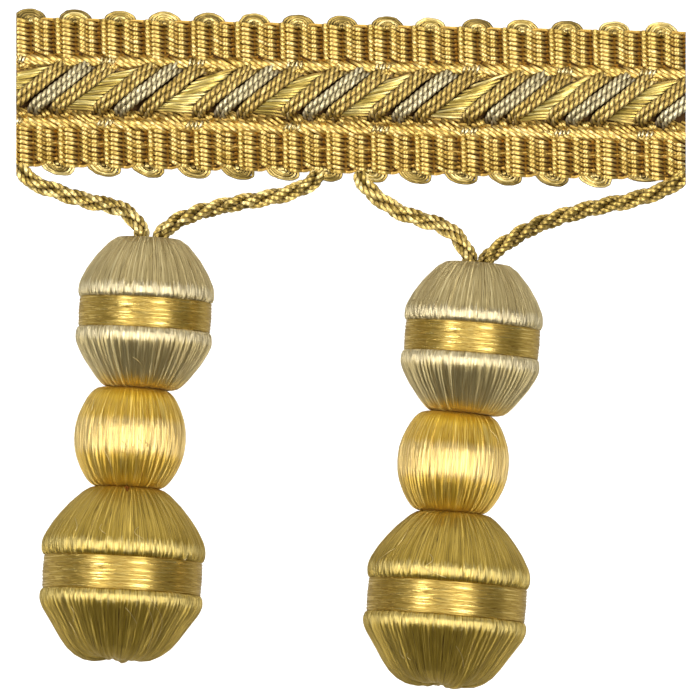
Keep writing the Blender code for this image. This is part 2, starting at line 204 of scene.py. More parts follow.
# One curve becomes several, laid round it as the strands of a rope are
def makeStrandTree():
    tree, given, result = newTree("layStrands", "GeometryNodeTree", {
        "Curve": "Geometry", "Count": 3, "Offset": 0.001, "Lay": 0.01, "Start Turn": 0.0, "Shuffle": 0.0,
        "Seed": 0,
    }, {"Curve": "Geometry"})
    draw = add(tree, "FunctionNodeRandomValue", data_type="FLOAT")
    feed(tree, draw.inputs["Seed"], given["Seed"])
    chance = times(tree, draw.outputs[1], given["Shuffle"])
    curve, chance = keepField(tree, given["Curve"], "CURVE", "chance", "FLOAT", chance)
    level = add(tree, "GeometryNodeSetCurveNormal", curve, mode="Z_UP")
    copies = add(tree, "GeometryNodeDuplicateElements", domain="SPLINE")
    feed(tree, copies.inputs["Geometry"], level.outputs[0])
    feed(tree, copies.inputs["Amount"], given["Count"])
    length = add(tree, "GeometryNodeSplineParameter").outputs["Length"]
    share = divided(tree, copies.outputs["Duplicate Index"], given["Count"])
    turn = plus(tree, divided(tree, length, given["Lay"]), share)
    turn = plus(tree, turn, plus(tree, chance, given["Start Turn"]))
    angle = times(tree, turn, 2 * math.pi)
    normal = add(tree, "GeometryNodeInputNormal").outputs[0]
    tangent = add(tree, "GeometryNodeInputTangent").outputs[0]
    up = calcVector(tree, "CROSS_PRODUCT", normal, tangent)
    upPart = scaled(tree, up, calc(tree, "COSINE", angle))
    sidePart = scaled(tree, normal, calc(tree, "SINE", angle))
    reach = times(tree, given["Offset"], add(tree, "GeometryNodeInputRadius").outputs[0])
    shift = scaled(tree, calcVector(tree, "SUBTRACT", upPart, sidePart), reach)
    moved = add(tree, "GeometryNodeSetPosition", copies.outputs["Geometry"])
    feed(tree, moved.inputs["Offset"], shift)
    feed(tree, result["Curve"], moved.outputs[0])
    return tree


strandTree = makeStrandTree()


# Routes become yarn: strands of plies, with a little unevenness, as one mesh, marked where painted shade goes
def makeYarnTree():
    tree, given, result = newTree("makeYarn", "GeometryNodeTree", {
        "Routes": "Geometry", "Step": 0.0003, "Strands": 1, "Strand Offset": 0.0, "Strand Lay": 0.01,
        "Plies": 2, "Ply Offset": 0.0001, "Ply Lay": 0.0012, "Ply Radius": 0.00012, "Sides": 5,
        "Start Turn": 0.0, "Shuffle": 1.0, "Wobble": 0.00003, "Wobble Scale": 900.0, "Seed": 1,
        "Rope Low": 0.3, "Rope High": 0.6, "Groove Low": 0.55, "Groove High": 0.85, "Side Low": -1.0,
        "Side High": -0.9, "Material": "Material",
    }, {"Mesh": "Geometry"})
    line = add(tree, "GeometryNodeMeshToCurve", given["Routes"]).outputs[0]
    smooth = add(tree, "GeometryNodeCurveSplineType", line, spline_type="CATMULL_ROM").outputs[0]
    even = add(tree, "GeometryNodeResampleCurve", smooth, mode="LENGTH")
    feed(tree, even.inputs["Length"], given["Step"])
    thickness = add(tree, "GeometryNodeInputNamedAttribute", "thickness", data_type="FLOAT")
    sized = add(tree, "GeometryNodeSetCurveRadius", even.outputs[0])
    feed(tree, sized.inputs["Radius"], thickness.outputs[0])
    place = add(tree, "GeometryNodeInputPosition").outputs[0]
    seedShift = calcVector(tree, "ADD", scaled(tree, place, given["Wobble Scale"]),
                           joinXyz(tree, given["Seed"], 0.0, 0.0))
    sway = calcVector(tree, "SUBTRACT", noise(tree, seedShift, 1.0, output="Color"), (0.5, 0.5, 0.5))
    moved = add(tree, "GeometryNodeSetPosition", sized.outputs[0])
    feed(tree, moved.inputs["Offset"], scaled(tree, sway, given["Wobble"]))
    rope, ropeCentre = keepField(tree, moved.outputs[0], "POINT", "ropeCentre", "VECTOR", place)
    strands = addGroup(tree, strandTree, {
        "Curve": rope, "Count": given["Strands"], "Offset": given["Strand Offset"],
        "Lay": given["Strand Lay"], "Start Turn": given["Start Turn"], "Shuffle": given["Shuffle"],
        "Seed": given["Seed"],
    })
    strand, strandCentre = keepField(tree, strands.outputs[0], "POINT", "strandCentre", "VECTOR", place)
    plies = addGroup(tree, strandTree, {
        "Curve": strand, "Count": given["Plies"], "Offset": given["Ply Offset"], "Lay": given["Ply Lay"],
        "Shuffle": 1.0, "Seed": plus(tree, given["Seed"], 7.0),
    })
    draw = add(tree, "FunctionNodeRandomValue", data_type="FLOAT")
    feed(tree, draw.inputs["Seed"], given["Seed"])
    toned = storeField(tree, plies.outputs[0], "CURVE", "FLOAT", "yarnTone", draw.outputs[1])
    length = add(tree, "GeometryNodeSplineParameter").outputs["Length"]
    toned, along = keepField(tree, toned, "POINT", "along", "FLOAT", length)
    width = add(tree, "GeometryNodeInputRadius").outputs[0]
    toned, width = keepField(tree, toned, "POINT", "width", "FLOAT", width)
    ring = add(tree, "GeometryNodeCurvePrimitiveCircle", given["Sides"], 1.0)
    around = add(tree, "GeometryNodeSplineParameter").outputs["Factor"]
    ringShape, around = keepField(tree, ring.outputs[0], "POINT", "around", "FLOAT", around)
    radius = times(tree, add(tree, "GeometryNodeInputRadius").outputs[0], given["Ply Radius"])
    tube = add(tree, "GeometryNodeCurveToMesh", toned, ringShape, radius, True)
    marked = storeField(tree, tube.outputs[0], "CORNER", "FLOAT2", "UVMap", joinXyz(tree, around, along, 0.0))
    # Painted shade mask: the sides of each ply that face the middle of its strand or rope, and its lower
    # flanks, are marked so that the yarn colour darkens there
    strandSize = times(tree, plus(tree, given["Ply Offset"], given["Ply Radius"]), width)
    ropeSize = calc(tree, "MULTIPLY_ADD", given["Strand Offset"], width, strandSize)
    fromStrand = calcVector(tree, "SUBTRACT", place, strandCentre)
    ropePart = divided(tree, lengthBetween(tree, place, ropeCentre), ropeSize)
    strandPart = divided(tree, lengthBetween(tree, place, strandCentre), strandSize)
    sidePart = divided(tree, add(tree, "ShaderNodeSeparateXYZ", fromStrand).outputs["Z"], strandSize)
    lit = 1.0
    for part, label in ((ropePart, "Rope"), (strandPart, "Groove"), (sidePart, "Side")):
        clear = add(tree, "ShaderNodeMapRange", part, given[label + " Low"], given[label + " High"])
        lit = times(tree, lit, firstOut(clear))
    grooveShade = minus(tree, 1.0, lit)
    marked = storeField(tree, marked, "POINT", "FLOAT", "grooveShade", grooveShade)
    endTree(tree, result, marked, given["Material"])
    return tree


yarnTree = makeYarnTree()


def routeObject(name, routes, thickness=1.0):
    points = []
    edges = []
    sizes = []
    for route in routes:
        start = len(points)
        for place in route:
            points.append([value * mm for value in place[:3]])
            sizes.append(place[3] if len(place) > 3 else thickness)
        edges += [(start + k, start + k + 1) for k in range(len(route) - 1)]
    mesh = bpy.data.meshes.new(name)
    mesh.from_pydata(points, edges, [])
    mesh.attributes.new("thickness", "FLOAT", "POINT").data.foreach_set("value", sizes)
    return newObject(name + "Routes", mesh)


def growPiece(name, source, tree, values):
    modifier = source.modifiers.new(tree.name, "NODES")
    modifier.node_group = tree
    for item in tree.interface.items_tree:
        if item.item_type == "SOCKET" and item.in_out == "INPUT" and item.name in values:
            modifier[item.identifier] = values[item.name]
    graph = bpy.context.evaluated_depsgraph_get()
    final = source.evaluated_get(graph)
    mesh = bpy.data.meshes.new_from_object(final, preserve_all_data_layers=True, depsgraph=graph)
    mesh.name = name
    source.modifiers.remove(modifier)
    bpy.data.objects.remove(source)
    piece = newObject(name, mesh)
    triangles = sum(len(face.vertices) - 2 for face in mesh.polygons)
    print(name, triangles, "triangles")
    return piece


floorGap = 0.02 * mm


def restOnFloor(piece):
    for vertex in piece.data.vertices:
        vertex.co.z = max(vertex.co.z, floorGap)


def finishPiece(piece, nodes=()):
    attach(piece, "root")
    if nodes:
        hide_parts(*nodes)
    return piece


# Yarn colour: fibres along the yarn, a tone of its own for each, and painted shade low down and in the
# grooves
def makeYarnToneTree():
    tree, given, result = newTree("yarnTone", "ShaderNodeTree", {
        "Shade": (0.2, 0.1, 0.02, 1), "Base": (0.5, 0.3, 0.1, 1), "Light": (0.8, 0.6, 0.3, 1),
        "Painted Shade": (0.1, 0.04, 0.003, 1), "Deep Height": -0.001, "Clear Height": -0.0005,
        "Tone Spread": 0.3, "Fibre Count": 7.0, "Fibre Scale": 260.0, "Tone Count": 60.0,
        "Streak Gain": 1.6, "Streak Base": -0.3, "Gap Gain": 1.8, "Gap Base": 0.1,
    }, {"Color": "Color", "Height": "Float"})
    tone = add(tree, "ShaderNodeAttribute", attribute_name="yarnTone").outputs["Fac"]
    place = add(tree, "ShaderNodeUVMap", uv_map="UVMap").outputs[0]
    parts = add(tree, "ShaderNodeSeparateXYZ", place)
    along = times(tree, parts.outputs["Y"], given["Fibre Scale"])
    around = times(tree, parts.outputs["X"], given["Fibre Count"])
    streak = noise(tree, joinXyz(tree, along, around, times(tree, tone, given["Tone Count"])), 1.0, 3.0)
    shift = times(tree, minus(tree, tone, 0.5), given["Tone Spread"])
    mixed = calc(tree, "MULTIPLY_ADD", streak, given["Streak Gain"], given["Streak Base"])
    mixed = plus(tree, mixed, shift)
    dark = mixColour(tree, times(tree, mixed, 2.0), given["Shade"], given["Base"])
    light = mixColour(tree, calc(tree, "MULTIPLY_ADD", mixed, 2.0, -1.0), dark, given["Light"])
    spot = add(tree, "ShaderNodeSeparateXYZ", add(tree, "ShaderNodeTexCoord").outputs["Object"])
    # Painted shade: below the lower height the colour is the painted shade colour, fading out up to the upper
    # height; it also darkens where the yarn is marked as lying in a groove
    clear = add(tree, "ShaderNodeMapRange", spot.outputs["Z"], given["Deep Height"], given["Clear Height"])
    grooveShade = add(tree, "ShaderNodeAttribute", attribute_name="grooveShade").outputs["Fac"]
    clear = times(tree, clear.outputs[0], minus(tree, 1.0, grooveShade))
    fibres = calc(tree, "MULTIPLY_ADD", streak, given["Gap Gain"], given["Gap Base"])
    feed(tree, result["Color"], mixColour(tree, clear, scaled(tree, given["Painted Shade"], fibres), light))
    feed(tree, result["Height"], streak)
    return tree


# Floss colour: fine streaks along one direction of the piece's UV map, amber ends, painted shade in slits,
# painted highlights on crests and painted rim light or shade
def makeFlossToneTree():
    tree, given, result = newTree("flossTone", "ShaderNodeTree", {
        "Shade": (0.2, 0.1, 0.02, 1), "Base": (0.5, 0.3, 0.1, 1), "Light": (0.8, 0.6, 0.3, 1),
        "End": (0.47, 0.28, 0.012, 1), "Tint Below": -1.0, "Tint Above": 2.0, "Around": 150.0,
        "Along": 3.0, "Fine Scale": 3.7, "Slit Line": 0.52, "Slit Width": 30.0, "Slit Shade": 0.75,
        "Slit Cut": 0.35, "Streak Gain": 1.3, "Streak Base": -0.13, "Painted Rim": (0.8, 0.7, 0.45, 1),
        "Rim Share": 0.5, "Rim Power": 2.5, "Facing": 0.0, "Crest 1": -1.0, "Crest 2": -1.0,
        "Crest Half": 0.02, "Highlight Paint": (0.9, 0.8, 0.6, 1), "Sheen Share": 0.0, "Rough": 0.46,
        "Rough Spread": 0.0, "Tint Jag": 0.22, "Tint Blend": 22.0, "Tint Most": 0.8, "Crest Jag": 0.09,
        "Crest Out": 1.15, "Crest In": 0.75,
    }, {"Color": "Color", "Height": "Float", "Rough": "Float"})
    place = add(tree, "ShaderNodeUVMap", uv_map="UVMap").outputs[0]
    parts = add(tree, "ShaderNodeSeparateXYZ", place)
    angle = times(tree, parts.outputs["X"], 2 * math.pi)
    reach = divided(tree, given["Around"], 2 * math.pi)
    along = times(tree, parts.outputs["Y"], given["Along"])
    spot = ringPlace(tree, angle, reach, along)
    broad = noise(tree, spot, 1.0, 3.0)
    fine = noise(tree, spot, given["Fine Scale"])
    # Painted shade in the thin slits between floss clumps; the slits also cut into the bump a little
    slit = calc(tree, "ABSOLUTE", minus(tree, broad, given["Slit Line"]))
    slit = minus(tree, 1.0, calc(tree, "MINIMUM", times(tree, slit, given["Slit Width"]), 1.0))
    streak = plus(tree, times(tree, broad, 0.5), times(tree, fine, 0.5))
    mixed = calc(tree, "MULTIPLY_ADD", streak, given["Streak Gain"], given["Streak Base"])
    mixed = minus(tree, mixed, times(tree, slit, given["Slit Shade"]))
    dark = mixColour(tree, times(tree, mixed, 2.0), given["Shade"], given["Base"])
    light = mixColour(tree, calc(tree, "MULTIPLY_ADD", mixed, 2.0, -1.0), dark, given["Light"])
    height = parts.outputs["Y"]
    uneven = minus(tree, fine, 0.5)
    ragged = calc(tree, "MULTIPLY_ADD", uneven, given["Tint Jag"], height)
    low = minus(tree, given["Tint Below"], ragged)
    high = minus(tree, ragged, given["Tint Above"])
    ends = times(tree, calc(tree, "MAXIMUM", low, high), given["Tint Blend"])
    ends = calc(tree, "MAXIMUM", calc(tree, "MINIMUM", ends, given["Tint Most"]), 0.0)
    tinted = mixColour(tree, ends, light, given["End"])
    # Painted highlight: pale bands at the crests along the profile, on the bead ridges and round the ball,
    # with toothed edges
    toothed = calc(tree, "MULTIPLY_ADD", uneven, given["Crest Jag"], height)
    near1 = calc(tree, "ABSOLUTE", minus(tree, toothed, given["Crest 1"]))
    near2 = calc(tree, "ABSOLUTE", minus(tree, toothed, given["Crest 2"]))
    away = divided(tree, calc(tree, "MINIMUM", near1, near2), given["Crest Half"])
    crest = firstOut(add(tree, "ShaderNodeMapRange", away, given["Crest Out"], given["Crest In"]))
    crest = times(tree, times(tree, crest, times(tree, streak, 2.0)), given["Sheen Share"])
    highlighted = mixColour(tree, crest, tinted, given["Highlight Paint"])
    # Painted rim light or shade: at grazing angles the colour turns towards the rim colour
    grazing = times(tree, calc(tree, "POWER", given["Facing"], given["Rim Power"]), given["Rim Share"])
    edged = mixColour(tree, grazing, highlighted, given["Painted Rim"])
    feed(tree, result["Color"], edged)
    feed(tree, result["Height"], minus(tree, streak, times(tree, slit, given["Slit Cut"])))
    lean = minus(tree, 0.5, broad)
    feed(tree, result["Rough"], calc(tree, "MULTIPLY_ADD", lean, given["Rough Spread"], given["Rough"]))
    return tree


yarnTone = makeYarnToneTree()
flossTone = makeFlossToneTree()


# Thread shines across its fibres, so the tangent runs round the yarn or bead
def makeMaterial(name, look, toneTree):
    material = bpy.data.materials.new(name)
    material.use_nodes = True
    tree = material.node_tree
    shader = tree.nodes["Principled BSDF"]
    tone = addGroup(tree, toneTree, {label: (*value, 1.0) if isinstance(value, tuple) else value
                                     for label, value in look["tone"].items()})
    # The facing value drives the painted rim light or shade
    if "Facing" in tone.inputs:
        feed(tree, tone.inputs["Facing"], add(tree, "ShaderNodeLayerWeight", 0.5).outputs["Facing"])
    bump = add(tree, "ShaderNodeBump")
    bump.inputs["Strength"].default_value = look["bump"]
    bump.inputs["Distance"].default_value = look["bumpDistance"]
    feed(tree, bump.inputs["Height"], tone.outputs["Height"])
    feed(tree, shader.inputs["Base Color"], tone.outputs["Color"])
    feed(tree, shader.inputs["Normal"], bump.outputs[0])
    tangent = add(tree, "ShaderNodeTangent", direction_type="UV_MAP", uv_map="UVMap")
    feed(tree, shader.inputs["Tangent"], tangent.outputs[0])
    if "Rough" in tone.outputs:
        feed(tree, shader.inputs["Roughness"], tone.outputs["Rough"])
    for label, value in look["shader"].items():
        shader.inputs[label].default_value = value
    return material


yarnShine = {"Roughness": 0.5, "IOR": 1.7, "Specular IOR Level": 0.8, "Metallic": 0.8, "Anisotropic": 0.9}
dullShine = {"Roughness": 0.75, "Specular IOR Level": 0.1, "Metallic": 0.0}
flossShine = {**yarnShine, "IOR": 1.85, "Specular IOR Level": 1.0, "Anisotropic": 1.0,
              "Specular Tint": (1.0, 0.88, 0.62, 1.0)}
# Painted shade colours for the low parts, gaps and grooves of the yarns
ribShadeBrown = (0.52, 0.28, 0.035)
deepShadeBrown = (0.11, 0.045, 0.004)
valleyShadeBrown = (0.36, 0.19, 0.028)
cordShadeBrown = (0.05, 0.02, 0.002)
dullYarns = ("groundShadeYarn", "stitchYarn", "knotYarn")

# Shade, base and light; the painted shade colour for gaps and grooves, the height below which it is full and
# the height above which it is gone; spread
yarnTones = {
    "braidYarn": ((0.28, 0.18, 0.022), (0.53, 0.375, 0.092), (0.74, 0.60, 0.26), ribShadeBrown, 1.1, 1.75, 0.35),
    "edgeYarn": ((0.13, 0.085, 0.008), (0.45, 0.31, 0.065), (0.72, 0.57, 0.22), cordShadeBrown, -1.0, -0.5, 1.0),
    "cordYarn": ((0.22, 0.13, 0.015), (0.46, 0.32, 0.075), (0.68, 0.52, 0.20), cordShadeBrown, 1.3, 2.6, 0.5),
    # The ground shows only between the warps, so it is painted as shade: near black, with brown painted shade
    # low in the valleys
    "groundShadeYarn": ((0.03, 0.013, 0.002), (0.05, 0.022, 0.003), (0.08, 0.036, 0.005), valleyShadeBrown,
                   0.65, 0.82, 0.3),
    "creamCord": ((0.26, 0.20, 0.08), (0.48, 0.41, 0.22), (0.68, 0.62, 0.40), cordShadeBrown, 1.3, 2.6, 0.4),
    "coreFloss": ((0.24, 0.16, 0.015), (0.50, 0.37, 0.075), (0.74, 0.62, 0.24), deepShadeBrown, 1.7, 2.5, 0.8),
    "tieYarn": ((0.34, 0.25, 0.07), (0.70, 0.58, 0.28), (0.90, 0.82, 0.55), deepShadeBrown, -1.0, -0.5, 0.6),
    "stitchYarn": ((0.26, 0.16, 0.03), (0.34, 0.22, 0.05), (0.42, 0.28, 0.08), deepShadeBrown, -1.0, -0.5, 0.2),
    "hairYarn": ((0.40, 0.30, 0.11), (0.50, 0.38, 0.15), (0.60, 0.50, 0.24), deepShadeBrown, -1.0, -0.5, 0.5),
    "knotYarn": ((0.05, 0.014, 0.001), (0.10, 0.03, 0.002), (0.16, 0.055, 0.004), deepShadeBrown, -1.0, -0.5, 0.5),
}

# Streaks around and along; where the amber end begins; where along the profile the painted highlights on the
# crests lie. The rim colour is painted rim light or shade at grazing angles.
flossTones = {
    "creamFloss": {"Shade": (0.12, 0.08, 0.02), "Base": (0.34, 0.265, 0.11), "Light": (0.54, 0.47, 0.27),
                   "Painted Rim": (0.52, 0.45, 0.27), "Highlight Paint": (0.80, 0.73, 0.54), "Around": 310.0, "Along": 2.5,
                   "Tint Above": 0.80, "Crest 1": 0.395, "Crest 2": 0.614, "Crest Half": 0.021,
                   "Sheen Share": 0.27, "Rough Spread": 0.5},
    "yellowFloss": {"Shade": (0.20, 0.11, 0.006), "Base": (0.41, 0.275, 0.05), "Light": (0.69, 0.56, 0.22),
                    "Painted Rim": (0.30, 0.19, 0.025), "Around": 13.0, "Along": 60.0, "Rough": 0.41,
                    "Rough Spread": 1.1},
    "amberFloss": {"Shade": (0.26, 0.13, 0.004), "Base": (0.48, 0.30, 0.025), "Light": (0.68, 0.56, 0.22),
                   "Painted Rim": (0.58, 0.47, 0.22), "Highlight Paint": (0.72, 0.66, 0.46), "Around": 200.0, "Along": 2.0,
                   "End": (0.60, 0.37, 0.018), "Tint Below": 0.3, "Tint Above": 0.78, "Crest 1": 0.5,
                   "Crest Half": 0.1, "Sheen Share": 0.2, "Rough Spread": 0.5},
    "oliveFloss": {"Shade": (0.08, 0.047, 0.002), "Base": (0.30, 0.20, 0.02), "Light": (0.49, 0.355, 0.085),
                   "Painted Rim": (0.38, 0.28, 0.08), "Highlight Paint": (0.62, 0.51, 0.20), "Around": 370.0, "Along": 2.5,
                   "Tint Below": 0.15, "Crest 1": 0.388, "Crest 2": 0.609, "Crest Half": 0.018,
                   "Sheen Share": 0.38, "Rough Spread": 0.5},
}
finishes = {}
for name, (shade, base, light, gap, deep, clear, spread) in yarnTones.items():
    look = {"tone": {"Shade": shade, "Base": base, "Light": light, "Painted Shade": gap, "Tone Spread": spread,
                     "Deep Height": deep * mm, "Clear Height": clear * mm},
            "bump": 0.5, "bumpDistance": 0.05 * mm, "shader": dullShine if name in dullYarns else yarnShine}
    finishes[name] = makeMaterial(name, look, yarnTone)
for name, tone in flossTones.items():
    wound = name == "yellowFloss"
    look = {"tone": tone, "bump": 0.6, "bumpDistance": (0.08 if wound else 0.1) * mm,
            "shader": {**flossShine, "Anisotropic Rotation": 0.25 if wound else 0.0}}
    finishes[name] = makeMaterial(name, look, flossTone)
print("materials made", len(finishes))


# The braid heading. The valleys between the ribs, where they cross the middle line, are a little uneven
braid = {
    "half": 50.25,
    "valleys": (-51.3, -47.8, -44.35, -41.05, -37.45, -34.3, -30.85, -27.7, -23.95, -20.95, -17.35, -14.2,
                -10.6, -7.6, -4.15, -1.0, 2.6, 5.75, 9.2, 12.2, 16.1, 19.25, 22.7, 26.0, 29.75, 32.75,
                36.2, 39.8, 43.55, 46.85, 50.3, 53.7),
    "loopRibShift": 0.27,
    "lean": math.radians(2.7),
    "overrun": 1.6,
    "cutBack": 0.03,
    "cutSlope": 0.0218,
    "passes": 30,
    "bands": {"upper": (5.5, 11.0), "lower": (-5.2, -10.95)},
    "rim": 10.95,
    "warps": 17,
    "slants": (1.0, 0.8),
    "rimWarp": (1.25, 0.75),
}


# Whole numbers are the weft passes, halves the valleys between them. Places are in millimetres here.
def passX(index, y):
    place = min(max(index + 0.5, 0.0), len(braid["valleys"]) - 1.001)
    low = int(place)
    part = place - low
    valleys = braid["valleys"]
    x = valleys[low] + (valleys[low + 1] - valleys[low]) * part
    if low % 2 == 0:
        x -= braid["loopRibShift"] * math.sin(math.pi * part)
    return x - y * math.tan(braid["lean"])


def loopX(loop, y):
    return passX(2 * loop + 0.5, y)


# Routes run a little past the cut ends, and the finished yarn is cut there
def clipRoute(route):
    limit = braid["half"] + braid["overrun"]
    return [place for place in route if abs(place[0]) <= limit]


def keepShape(shape, piece):
    bmesh.ops.recalc_face_normals(shape, faces=shape.faces)
    for face in shape.faces:
        face.smooth = True
    shape.to_mesh(piece.data)
    shape.free()


def cleanMesh(piece, distance=1e-6):
    shape = bmesh.new()
    shape.from_mesh(piece.data)
    bmesh.ops.remove_doubles(shape, verts=shape.verts, dist=distance)
    keepShape(shape, piece)


def cutEnds(piece):
    shape = bmesh.new()
    shape.from_mesh(piece.data)
    for side in (-1, 1):
        limit = Vector((side * (braid["half"] - braid["cutBack"]) * mm, 0, 0))
        outward = Vector((side, side * braid["cutSlope"], 0)).normalized()
        cut = bmesh.ops.bisect_plane(shape, geom=[*shape.verts, *shape.edges, *shape.faces],
                                     plane_co=limit, plane_no=outward, clear_outer=True)
        edges = [part for part in cut["geom_cut"] if isinstance(part, bmesh.types.BMEdge)]
        bmesh.ops.holes_fill(shape, edges=edges, sides=0)
    keepShape(shape, piece)
    restOnFloor(piece)


def growBraidYarn(name, routes, values, nodes=()):
    piece = growPiece(name, routeObject(name, routes), yarnTree, values)
    cutEnds(piece)
    finishPiece(piece, nodes)


# Ground: the weft under the warps, a thin closed cloth with a rib at each pass. Its colour is painted shade:
# near black on the ribs, brown in the valleys.
groundCloth = {
    "rows": (-10.95, -10.8, -10.4, -9.2, -8.0, -6.8, -5.7, -5.1, -4.9, -4.0, -2.0, 0.0, 2.0, 4.0,
             5.2, 5.4, 6.2, 7.4, 8.6, 9.8, 10.5, 10.8, 10.95),
    "step": 0.125,
    "valley": 0.6,
    "crest": 1.4,
    "channel": (-5.0, 5.3),
    "channelHeight": 0.85,
    "channelRib": 0.1,
    "rimHeight": 0.35,
    "rimWidth": 0.5,
    "back": 0.03,
    "fibres": (600.0, 1.0),
    "cutFibres": (1200.0, 12.0),
}


def groundHeight(index, y):
    wave = math.sqrt(abs(math.cos(math.pi * index)))
    low, high = groundCloth["channel"]
    height = groundCloth["valley"] + (groundCloth["crest"] - groundCloth["valley"]) * wave
    if low <= y <= high:
        height = groundCloth["channelHeight"] + groundCloth["channelRib"] * wave
    inward = min(1.0, (braid["rim"] - abs(y)) / groundCloth["rimWidth"])
    rim = groundCloth["rimHeight"]
    return rim + (height - rim) * math.sqrt(max(0.0, inward))


def makeGround():
    rows = groundCloth["rows"]
    limit = braid["half"] - braid["cutBack"]
    columns = int((braid["passes"] + 1) / groundCloth["step"])
    points = []
    for column in range(columns):
        index = groundCloth["step"] * column - 0.5
        for y in rows:
            askew = braid["cutSlope"] * y
            x = max(-limit - askew, min(limit - askew, passX(index, y)))
            points.append((x * mm, y * mm, groundHeight(index, y) * mm))
    width = len(rows)
    count = len(points)
    points += [(x, y, groundCloth["back"] * mm) for x, y, z in points]
    faces = []
    for column in range(columns - 1):
        for a in range(column * width, (column + 1) * width - 1):
            faces.append((a, a + width, a + width + 1, a + 1))
            faces.append((count + a, count + a + 1, count + a + width + 1, count + a + width))
    last = count - width
    ring = [*range(0, last, width), *range(last, count - 1), *range(count - 1, width - 1, -width),
            *range(width - 1, 0, -1)]
    faces += [(a, b, count + b, count + a) for a, b in zip(ring, ring[1:] + ring[:1])]
    mesh = bpy.data.meshes.new("braidGround")
    mesh.from_pydata(points, [], faces)
    piece = newObject("braidGround", mesh)
    cleanMesh(piece)
    layer = mesh.uv_layers.new(name="UVMap")
    for face in mesh.polygons:
        cutFace = abs(face.normal.x) > 0.9
        across, along = groundCloth["cutFibres" if cutFace else "fibres"]
        for corner in face.loop_indices:
            spot = mesh.vertices[mesh.loops[corner].vertex_index].co
            u, v = (spot.y, spot.z) if cutFace else (spot.x, spot.y)
            layer.data[corner].uv = (u * across, v * along)
    mesh.materials.append(finishes["groundShadeYarn"])
    return piece


# Warps: each goes over one weft pass and under the next. An over part climbs steeply on its left
# side and runs out flat on its right one, so the floats stand as short slanting dashes on each rib.
# Each stop: share of a pass from the crest, drop towards the lower edge, height, thickness
warpFloats = (
    ((-0.46, -0.92, 1.1, 0.52), (-0.4, -0.86, 1.5, 0.72), (-0.33, -0.68, 1.83, 0.92),
     (-0.26, -0.42, 1.96, 1.0), (-0.19, -0.2, 1.82, 0.92), (-0.13, -0.07, 1.56, 0.8),
     (-0.06, 0.0, 1.76, 0.9), (0.02, 0.04, 1.95, 1.0), (0.12, 0.1, 1.94, 1.0), (0.23, 0.17, 1.9, 0.96),
     (0.32, 0.24, 1.8, 0.8), (0.4, 0.3, 1.6, 0.56), (0.47, 0.33, 1.25, 0.48), (0.68, 0.2, 0.9, 0.5),
     (1.0, -0.36, 0.8, 0.5), (1.32, -0.82, 0.85, 0.5)),
    ((-0.5, -0.95, 1.1, 0.52), (-0.44, -0.9, 1.45, 0.72), (-0.36, -0.76, 1.76, 0.92),
     (-0.27, -0.52, 1.93, 1.0), (-0.18, -0.3, 1.88, 0.95), (-0.1, -0.13, 1.66, 0.84),
     (-0.03, -0.03, 1.56, 0.8), (0.04, 0.03, 1.82, 0.94), (0.12, 0.09, 1.96, 1.0),
     (0.21, 0.15, 1.92, 0.98), (0.29, 0.22, 1.78, 0.8), (0.37, 0.28, 1.5, 0.54),
     (0.44, 0.31, 1.15, 0.46), (0.68, 0.2, 0.9, 0.5), (1.0, -0.36, 0.8, 0.5), (1.32, -0.84, 0.85, 0.5)),
)


def warpRoutes(band):
    low, high = braid["bands"][band]
    chance = random.Random(71)
    routes = []
    for warp in range(braid["warps"]):
        y = low + (high - low) * (warp + 0.5) / braid["warps"]
        atRim = warp == braid["warps"] - 1
        leastHeight, leastThickness = braid["rimWarp"] if atRim else (0.0, 0.0)
        route = []
        for over in range(-2 + warp % 2, braid["passes"] + 2, 2):
            slant = braid["slants"][over % 2]
            uneven = chance.uniform(-0.05, 0.05)
            for part, drop, height, thickness in warpFloats[over % 2]:
                place = min(max(y - slant * drop + uneven, -braid["rim"]), braid["rim"])
                route.append((passX(over + part, y), place, max(height, leastHeight),
                              max(thickness, leastThickness)))
        routes.append(clipRoute(route))
    return routes


# Side Low and Side High: where the painted shade on the yarn's lower flanks begins and ends
warpYarn = {"Step": 0.24 * mm, "Plies": 1, "Ply Offset": 0.0, "Ply Lay": 2.0 * mm,
            "Ply Radius": 0.3 * mm, "Sides": 6, "Wobble": 0.14 * mm, "Wobble Scale": 700.0,
            "Side Low": -0.3, "Side High": 0.5, "Material": finishes["braidYarn"]}
ground = makeGround()
for band, seed in (("upper", 3), ("lower", 5)):
    growBraidYarn(band + "Warps", warpRoutes(band), {**warpYarn, "Seed": seed})


# Weft loops: the pass yarns turn back past the woven edge. Broad backing yarns close the loop below.
weftLoops = {
    "yarns": 6,
    "inner": 0.14,
    "spacing": 0.415,
    "innerReach": 0.2,
    "reachStep": 0.265,
    "turnY": 10.7,
    "height": 1.48,
    "heightStep": 0.12,
    "skew": {"upper": -0.06, "lower": 0.55},
    "smallBeyond": (-46.5, 41.5),
    "smallShare": 0.35,
    "backing": ((0.5, 0.35), (1.15, 0.75), (1.75, 1.1)),
    "backingHeight": 0.6,
    "backingThickness": 1.9,
    "steps": 12,
}


